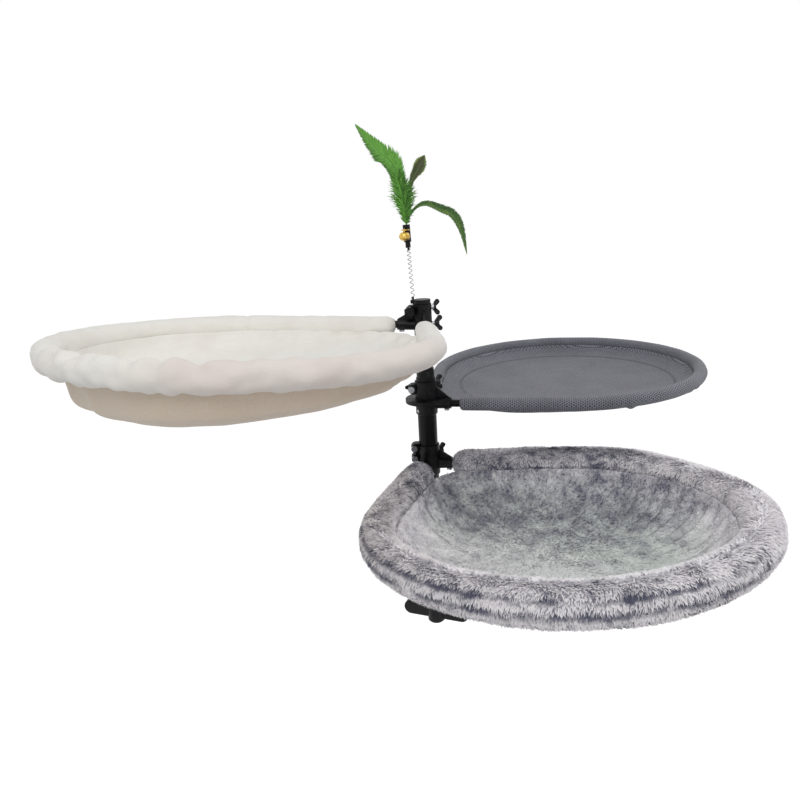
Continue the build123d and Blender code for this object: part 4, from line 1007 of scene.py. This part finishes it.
def wing_screw_plastic():
    """The wing screws: plated where the shaft shows near the mast, black heads outside."""
    material, tree, shader = new_finish("wing_screw_black", 0.4, specular_ior_level=0.35)
    place = object_place(tree)
    away = vector_step(tree, "LENGTH", vector_step(tree, "MULTIPLY", place, (1, 1, 0)), output="Value")
    shaft_end, head_start = 0.0150, 0.0152
    head = spread(tree, away, shaft_end, head_start)
    grain = lumps(tree, place, 0.0008, detail=2.0)
    black = blend_colours(tree, spread(tree, grain, 0.4, 0.7), paint(8, 8, 11), paint(24, 24, 28))
    base = blend_colours(tree, head, paint(176, 176, 180), black)
    tree.links.new(spread(tree, head, 0, 1, 1, 0), shader.inputs["Metallic"])
    finish_with(tree, shader, base, relief(tree, grain, 0.2, 0.0003))
    return material


def zinc_steel():
    """Zinc-plated screws: bright, faintly brushed and clouded."""
    material, tree, shader = new_finish("zinc_steel", 0.3, metallic=1.0)
    place = object_place(tree)
    cloud = lumps(tree, place, 0.004, detail=4.0)
    brushed = lumps(tree, place, 0.0006, stretch=(1, 1, 6))
    base = blend_colours(tree, spread(tree, cloud, 0.35, 0.7), paint(190, 192, 196), paint(142, 145, 152))
    roughness = spread(tree, cloud, 0.3, 0.7, 0.22, 0.45)
    finish_with(tree, shader, base, relief(tree, brushed, 0.15, 0.0002), roughness)
    return material


def rubber():
    """Pads: dull dark rubber with fine dust."""
    material, tree, shader = new_finish("rubber", 0.85)
    place = object_place(tree)
    dust = lumps(tree, place, 0.006, detail=5.0)
    base = blend_colours(tree, spread(tree, dust, 0.45, 0.8), paint(30, 30, 31), paint(70, 69, 67))
    finish_with(tree, shader, base, relief(tree, lumps(tree, place, 0.001), 0.4, 0.0004))
    return material


def spring_steel():
    """Drawn wire: grey and shiny, with faint draw marks."""
    material, tree, shader = new_finish("spring_steel", 0.32, metallic=0.85)
    place = object_place(tree)
    marks = lumps(tree, place, 0.002, detail=3.0)
    base = blend_colours(tree, spread(tree, marks, 0.35, 0.7), paint(168, 170, 174), paint(112, 114, 119))
    finish_with(tree, shader, base, relief(tree, marks, 0.15, 0.0002))
    return material


def gold_brass():
    """The bell: bright brass with tarnish in its hollows."""
    material, tree, shader = new_finish("gold_brass", 0.22, metallic=1.0)
    place = object_place(tree)
    tarnish = lumps(tree, place, 0.0035, detail=4.0)
    base = blend_colours(tree, spread(tree, tarnish, 0.45, 0.75), paint(232, 196, 104), paint(150, 116, 52))
    roughness = spread(tree, tarnish, 0.4, 0.75, 0.16, 0.42)
    finish_with(tree, shader, base, relief(tree, tarnish, 0.1, 0.0003), roughness)
    return material


class HAMMOCK_OT_fittings(bpy.types.Operator):
    """Gives the clamp, mast, brackets and screws their finishes"""

    bl_idname = "hammock.fittings"
    bl_label = "Fittings"

    def execute(self, context):
        finishes = {
            "black_steel": black_steel(),
            "black_plastic": black_plastic(),
            "zinc_steel": zinc_steel(),
            "rubber": rubber(),
            "gold_brass": gold_brass(),
        }
        heads = wing_screw_plastic()
        for subpart in frame["record"]["subparts"]:
            finish = finishes.get(subpart["material_slot"])
            if "wing_screw" in subpart["node"]:
                finish = heads
            if finish:
                mesh = frame["nodes"][subpart["node"]].data
                mesh.materials.clear()
                mesh.materials.append(finish)
        return {"FINISHED"}


# The feather toy

# Spines go across and up in shares of a feather's length, breadths in shares of its width
LONG_SPINE = ((0.0, 0.0), (-0.02, 0.26), (-0.085, 0.515), (-0.214, 0.65), (-0.40, 0.875))
LONG_BREADTHS = (0.06, 0.55, 0.95, 0.70, 0.05)
LEAF_SPINE = ((0.0, 0.0), (0.04, 0.25), (0.093, 0.53), (0.19, 0.70), (0.285, 0.865))
LEAF_BREADTHS = (0.05, 0.09, 0.45, 1.0, 0.10)
DROOPING_SPINE = ((0.0, 0.0), (0.11, 0.19), (0.267, 0.267), (0.47, 0.20), (0.648, 0.10),
                  (0.757, -0.093), (0.824, -0.449))
DROOPING_BREADTHS = (0.10, 0.30, 0.60, 0.90, 0.95, 0.70, 0.05)


def spring_axis(toy):
    """The direction that the toy's spring leans in."""
    return Vector((0, 0, 1)) * cos(toy.lean) + heading(toy.azimuth) * sin(toy.lean)


class FacingPlane:
    """The upright plane of the flat feathers: across, up and out of it."""

    def __init__(self, toy):
        spring_foot = heading(toy.azimuth) * toy.offset + Vector((0, 0, toy.foot))
        self.foot = spring_foot + spring_axis(toy) * toy.mouth
        self.across = heading(toy.facing + pi / 2)
        self.out = heading(toy.facing)

    def points(self, across, up, out):
        """Points from their distances to the quills' foot along the plane's three ways."""
        ways = [np.array(way)[None, :] for way in (self.across, (0, 0, 1), self.out)]
        moved = sum(np.asarray(part)[:, None] * way for part, way in zip((across, up, out), ways))
        return moved + np.array(self.foot)

    def ways(self, across, up, out):
        """Directions from their parts along the plane's three ways."""
        return self.points(across, up, out) - np.array(self.foot)


def feather_finish(name, bright, dark, edge):
    """Dyed barbs: a bright vane with darker parts and fine barb lines."""
    material, tree, shader = new_finish(name, 0.55, sheen_weight=0.3, sheen_roughness=0.4)
    place = object_place(tree)
    streaks = lumps(tree, place, 0.003, detail=4.0)
    base = blend_colours(tree, spread(tree, marked(tree, "shade"), 0.0, 1.0), bright, dark)
    base = blend_colours(tree, spread(tree, streaks, 0.5, 0.8, 0.0, 0.6), base, edge)
    finish_with(tree, shader, base, relief(tree, streaks, 0.3, 0.0005))
    return material


def quill(name, plane, across, up, out, thickness):
    """A tapering shaft along a spine, its foot in the ferrule."""
    sides = 8
    tip_share = 0.12
    turn = np.linspace(0, 2 * pi, sides, endpoint=False)
    rise = np.gradient(up)
    run = np.gradient(across)
    size = np.hypot(rise, run)
    taper = thickness * np.linspace(1, tip_share, len(up))
    aside = taper[:, None] * np.cos(turn)[None, :]
    rows = [plane.points(across + rise / size * aside[:, index], up - run / size * aside[:, index],
                         out + taper * sin(turn[index])) for index in range(sides)]
    points = np.stack(rows, axis=1)
    zeros = np.zeros((len(up), sides + 1))
    return grid_piece(name, points, zeros, zeros, wrap_columns=True)


def make_feather(name, plane, spine, breadths, long, wide, out, barbs, shade, chance):
    """A feather: its shaft, and barbs on both sides that lie up along it."""
    shaft_radius = 0.0007
    first_barb, last_barb = 0.10, 0.995
    least_breadth = 0.02
    overlap = 2.6
    along = np.linspace(0, len(spine) - 1, 60)
    across = eased([point[0] for point in spine], along) * long
    up = eased([point[1] for point in spine], along) * long
    out = out + 0 * along
    piece = quill(name, plane, across, up, out, shaft_radius)
    places = np.linspace(first_barb, last_barb, barbs)
    spot = places * (len(spine) - 1)
    base_across = np.interp(spot, along, across)
    base_up = np.interp(spot, along, up)
    run = np.interp(spot, along, np.gradient(across))
    rise = np.interp(spot, along, np.gradient(up))
    size = np.hypot(run, rise)
    run, rise = run / size, rise / size
    half = np.clip(eased(breadths, spot), least_breadth, None) * wide / 2
    # A barb leaves its shaft sideways and bends up along it, so it is longer than the vane is wide
    root_rise, root_spread = 0.45, 0.9
    tip_rise, tip_spread = 0.85, 0.5
    barb_share = 1.45
    whole_share, torn_length = 0.93, 0.7
    roots, firsts, lasts, lengths, sides, shares = [], [], [], [], [], []
    for side in (1, -1):
        jitter = chance.normal(0, 0.10, barbs)
        lift = chance.normal(0.10, 0.10, barbs)
        roots.append(plane.points(base_across, base_up, out[0] + 0 * base_up))
        firsts.append(plane.ways(run * root_rise - side * rise * root_spread,
                                 rise * root_rise + side * run * root_spread, lift))
        lasts.append(plane.ways(run * (tip_rise + jitter) - side * rise * tip_spread,
                                rise * (tip_rise + jitter) + side * run * tip_spread, lift * 0.4))
        torn = np.where(chance.random(barbs) > whole_share, torn_length, 1.0)
        lengths.append(half * barb_share * (torn * chance.uniform(0.9, 1.06, barbs)))
        sides.append(side + 0 * places)
        shares.append(places)
    lengths = np.concatenate(lengths)
    barb_widths = np.full(len(lengths), long / barbs * overlap)
    grown = grow_blades(blade_shape(), np.concatenate(roots), unit(np.concatenate(firsts)),
                        unit(np.concatenate(lasts)), lengths, barb_widths, np.array(plane.out))
    values = shade(np.concatenate(sides)[:, None], np.concatenate(shares)[:, None], grown[2])
    add_blades(piece, grown, "shade", values, np.full(len(piece.data.vertices), 0.6))
    return piece


class HAMMOCK_OT_feathers(bpy.types.Operator):
    """Makes the dyed feathers and the plume"""

    bl_idname = "hammock.feathers"
    bl_label = "Feathers"

    def execute(self, context):
        toy = context.scene.hammock_toy
        plane = FacingPlane(toy)
        chance = np.random.default_rng(7)
        dyed = feather_finish("green_feather", toy.green, toy.moss, toy.moss)
        dark = feather_finish("dark_feather", toy.bark, toy.lime, toy.bark)
        olive = feather_finish("olive_feather", toy.olive, toy.moss, toy.lime)
        long_feather = make_feather(
            "long_dyed_feather", plane, LONG_SPINE, LONG_BREADTHS, long=0.136, wide=0.027,
            out=0.0, barbs=150, chance=chance,
            shade=lambda side, along, height: np.where(side > 0, 0.65 * height, 0.05 * height))
        leaf_feather = make_feather(
            "leaf_shaped_feather", plane, LEAF_SPINE, LEAF_BREADTHS, long=0.092, wide=0.016,
            out=-toy.layer, barbs=120, chance=chance,
            shade=lambda side, along, height: np.where(height > 0.75, 0.9, 0.1) + 0 * side)
        drooping_feather = make_feather(
            "drooping_dyed_feather", plane, DROOPING_SPINE, DROOPING_BREADTHS, long=0.090, wide=0.012,
            out=toy.layer, barbs=150, chance=chance,
            shade=lambda side, along, height: np.where(side > 0, 0.8, 0.1) + 0 * height)
        plume = self.make_plume(plane, toy, chance)
        for piece, node, slot, finish in (
            (long_feather, "long_feather", "green_feather", dyed),
            (leaf_feather, "leaf_feather", "dark_feather", dark),
            (drooping_feather, "drooping_feather", "olive_feather", olive),
            (plume, "feather_plume", "green_feather", dyed),
        ):
            piece.data.materials.append(finish)
            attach(piece, "toy")
            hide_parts(node)
        return {"FINISHED"}

    def make_plume(self, plane, toy, chance):
        """The fluffy body: a short shaft with many soft barbs all round it."""
        barbs = 620
        height = 0.070
        width = 0.043
        thickness = 0.007
        barb_width = 0.0016
        clearance = 0.0048
        shaft_radius = 0.0009
        shaft_foot = 0.0005
        shaft_share = 0.8
        lean_share = 0.20
        levels = (0, 0.16, 0.42, 0.72, 1)
        breadths = (0.30, 0.66, 1.0, 0.72, 0.30)
        out = toy.layer + clearance
        along = np.linspace(0, 1, 24)
        lean = -lean_share * width * along**1.6
        shaft = shaft_foot + along * height * shaft_share
        piece = quill("feather_plume_barbs", plane, lean, shaft, out + 0 * along, shaft_radius)
        up = chance.beta(1.1, 1.3, barbs)
        wide = np.interp(up, levels, breadths)
        across = np.interp(up, along, lean)
        side = np.where(chance.random(barbs) > 0.5, 1, -1) * chance.uniform(0.15, 1, barbs)
        depth = chance.normal(0, 0.35, barbs)
        first = plane.ways(side, 0.75 + 0.4 * up, depth)
        last = plane.ways(side * 0.9, 0.8 - 0.55 * np.abs(side) + chance.normal(0, 0.3, barbs), depth * 0.5)
        lengths = width / 2 * wide * chance.uniform(0.75, 1.2, barbs)
        roots = plane.points(across, 0.001 + up * height * 0.86, out + depth * thickness * 0.3)
        faces_way = np.array(plane.out) + chance.normal(0, 0.5, (barbs, 3))
        grown = grow_blades(blade_shape(), roots, unit(first), unit(last), lengths,
                            np.full(barbs, barb_width), faces_way)
        dark = np.clip(0.05 + 0.4 * (side > 0.2) + chance.normal(0, 0.2, barbs), 0, 1)[:, None]
        add_blades(piece, grown, "shade", dark + 0 * grown[2], np.full(len(piece.data.vertices), 0.5))
        return piece


class HAMMOCK_OT_spring(bpy.types.Operator):
    """Makes the toy's spring, which bends with the toy"""

    bl_idname = "hammock.spring"
    bl_label = "Spring"

    def execute(self, context):
        source = frame["nodes"]["toy_spring"]
        mesh = source.data.copy()
        spring = bpy.data.objects.new("toy_coil", mesh)
        context.scene.collection.objects.link(spring)
        weld(spring)
        mesh.materials.clear()
        mesh.materials.append(spring_steel())
        mesh.shade_smooth()
        low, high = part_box("toy_spring")
        toy = context.scene.hammock_toy
        foot = heading(toy.azimuth) * toy.offset + Vector((0, 0, low.z))
        axis = spring_axis(toy)
        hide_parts("toy_spring")
        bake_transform(spring, "mast", "toy", start=tuple(foot), end=tuple(foot + axis * (high.z - low.z)))
        return {"FINISHED"}


# Stage

FLOOR_GREY = (0.8, 0.8, 0.8)
FLOOR_GLOW = 0.62
KEY_PLACE = (-1.1, -1.3, 1.9)
KEY_SIZE = 1.6
FILL_PLACE = (1.6, -0.6, 1.3)
FILL_SIZE = 1.4
FILL_SHARE = 0.4
LAMP_AIM = (0, -0.1, 0.15)


def seen_directly(tree):
    """1 for rays from the camera and for those that come by reflection or through glass, else 0."""
    path = tree.nodes.new("ShaderNodeLightPath")
    seen = sums(tree, "MAXIMUM", path.outputs["Is Camera Ray"], path.outputs["Is Glossy Ray"])
    return sums(tree, "MAXIMUM", seen, path.outputs["Is Transmission Ray"])


def white_to_the_eye(name, plain, strength):
    """A pale diffuse surface that also shows white to the camera, and keeps its shadows."""
    material = bpy.data.materials.new(name)
    material.use_nodes = True
    tree = material.node_tree
    tree.nodes.clear()
    diffuse = wire(tree, "ShaderNodeBsdfDiffuse", {"Color": (*plain, 1)})
    glow = wire(tree, "ShaderNodeEmission", {"Color": (1, 1, 1, 1), "Strength": strength})
    both = wire(tree, "ShaderNodeAddShader", {0: diffuse, 1: glow})
    mixed = wire(tree, "ShaderNodeMixShader", {0: seen_directly(tree), 1: diffuse, 2: both})
    out = tree.nodes.new("ShaderNodeOutputMaterial")
    tree.links.new(mixed, out.inputs["Surface"])
    return material


class HAMMOCK_OT_stage(bpy.types.Operator):
    """Makes the pale floor, the soft light and the camera"""

    bl_idname = "hammock.stage"
    bl_label = "Stage"

    def execute(self, context):
        stage = context.scene.hammock_stage
        deselect()
        bpy.ops.mesh.primitive_plane_add(size=stage.floor_size, location=(0, 0, stage.floor_height))
        floor = context.object
        floor.name = "studio_floor"
        floor.data.materials.append(white_to_the_eye("pale_floor", FLOOR_GREY, FLOOR_GLOW))
        self.light_world(context.scene, stage)
        self.hang_lamp("key_lamp", KEY_PLACE, KEY_SIZE, stage.key_power)
        self.hang_lamp("fill_lamp", FILL_PLACE, FILL_SIZE, stage.key_power * FILL_SHARE)
        self.place_camera(context.scene, stage)
        context.scene.view_settings.view_transform = "Standard"
        return {"FINISHED"}

    def light_world(self, scene, stage):
        """Even light from all round, plain white to the camera and in reflections."""
        world = bpy.data.worlds.new("studio_world")
        scene.world = world
        world.use_nodes = True
        tree = world.node_tree
        strength = spread(tree, seen_directly(tree), 0, 1, stage.world_strength, 1)
        background = tree.nodes["Background"]
        background.inputs["Color"].default_value = (1, 1, 1, 1)
        tree.links.new(strength, background.inputs["Strength"])

    def hang_lamp(self, name, place, size, power):
        """A square soft lamp that looks at the beds."""
        lamp = bpy.data.lights.new(name, "AREA")
        lamp.size = size
        lamp.energy = power
        hung = bpy.data.objects.new(name, lamp)
        hung.location = place
        hung.rotation_mode = "QUATERNION"
        hung.rotation_quaternion = (Vector(LAMP_AIM) - Vector(place)).to_track_quat("-Z", "Y")
        bpy.context.scene.collection.objects.link(hung)

    def place_camera(self, scene, stage):
        """The camera of the photograph's view."""
        camera = bpy.data.cameras.new("camera")
        camera.sensor_width = 36
        camera.lens = stage.lens
        camera.clip_start = 0.01
        camera.clip_end = 200
        held = bpy.data.objects.new("camera", camera)
        turn, pitch, roll = stage.camera_heading, stage.camera_pitch, stage.camera_roll
        look = Vector((sin(turn) * cos(pitch), cos(turn) * cos(pitch), -sin(pitch)))
        right = Vector((cos(turn), -sin(turn), 0))
        up = right.cross(look)
        across = right * cos(roll) + up * sin(roll)
        above = up * cos(roll) - right * sin(roll)
        held.matrix_world = (Matrix.Translation(stage.camera_place)
                             @ Matrix((across, above, -look)).transposed().to_4x4())
        scene.collection.objects.link(held)
        scene.camera = held


class HAMMOCK_PT_panel(bpy.types.Panel):
    """Buttons for the hammock's pieces"""

    bl_idname = "HAMMOCK_PT_panel"
    bl_label = "Cat hammock"
    bl_space_type = "VIEW_3D"
    bl_region_type = "UI"
    bl_category = "Cat hammock"

    def draw(self, context):
        for operator in OPERATORS:
            self.layout.operator(operator.bl_idname)


SETTINGS = {
    "hammock_hoops": HammockHoops,
    "hammock_white": WhiteBedSettings,
    "hammock_grey": GreyBedSettings,
    "hammock_furry": FurryBedSettings,
    "hammock_toy": ToySettings,
    "hammock_stage": StageSettings,
}
OPERATORS = (
    HAMMOCK_OT_fittings,
    HAMMOCK_OT_white_bed,
    HAMMOCK_OT_grey_bed,
    HAMMOCK_OT_furry_bed,
    HAMMOCK_OT_spring,
    HAMMOCK_OT_feathers,
    HAMMOCK_OT_stage,
)


def register():
    for group in SETTINGS.values():
        bpy.utils.register_class(group)
    for name, group in SETTINGS.items():
        setattr(bpy.types.Scene, name, PointerProperty(type=group))
    for operator in OPERATORS:
        bpy.utils.register_class(operator)
    bpy.utils.register_class(HAMMOCK_PT_panel)


def unregister():
    bpy.utils.unregister_class(HAMMOCK_PT_panel)
    for operator in reversed(OPERATORS):
        bpy.utils.unregister_class(operator)
    for name, group in SETTINGS.items():
        delattr(bpy.types.Scene, name)
        bpy.utils.unregister_class(group)


def main():
    """Makes every piece and the stage."""
    register()
    bpy.ops.hammock.fittings()
    bpy.ops.hammock.white_bed()
    bpy.ops.hammock.grey_bed()
    bpy.ops.hammock.furry_bed()
    bpy.ops.hammock.spring()
    bpy.ops.hammock.feathers()
    bpy.ops.hammock.stage()


if __name__ == "__main__":
    main()
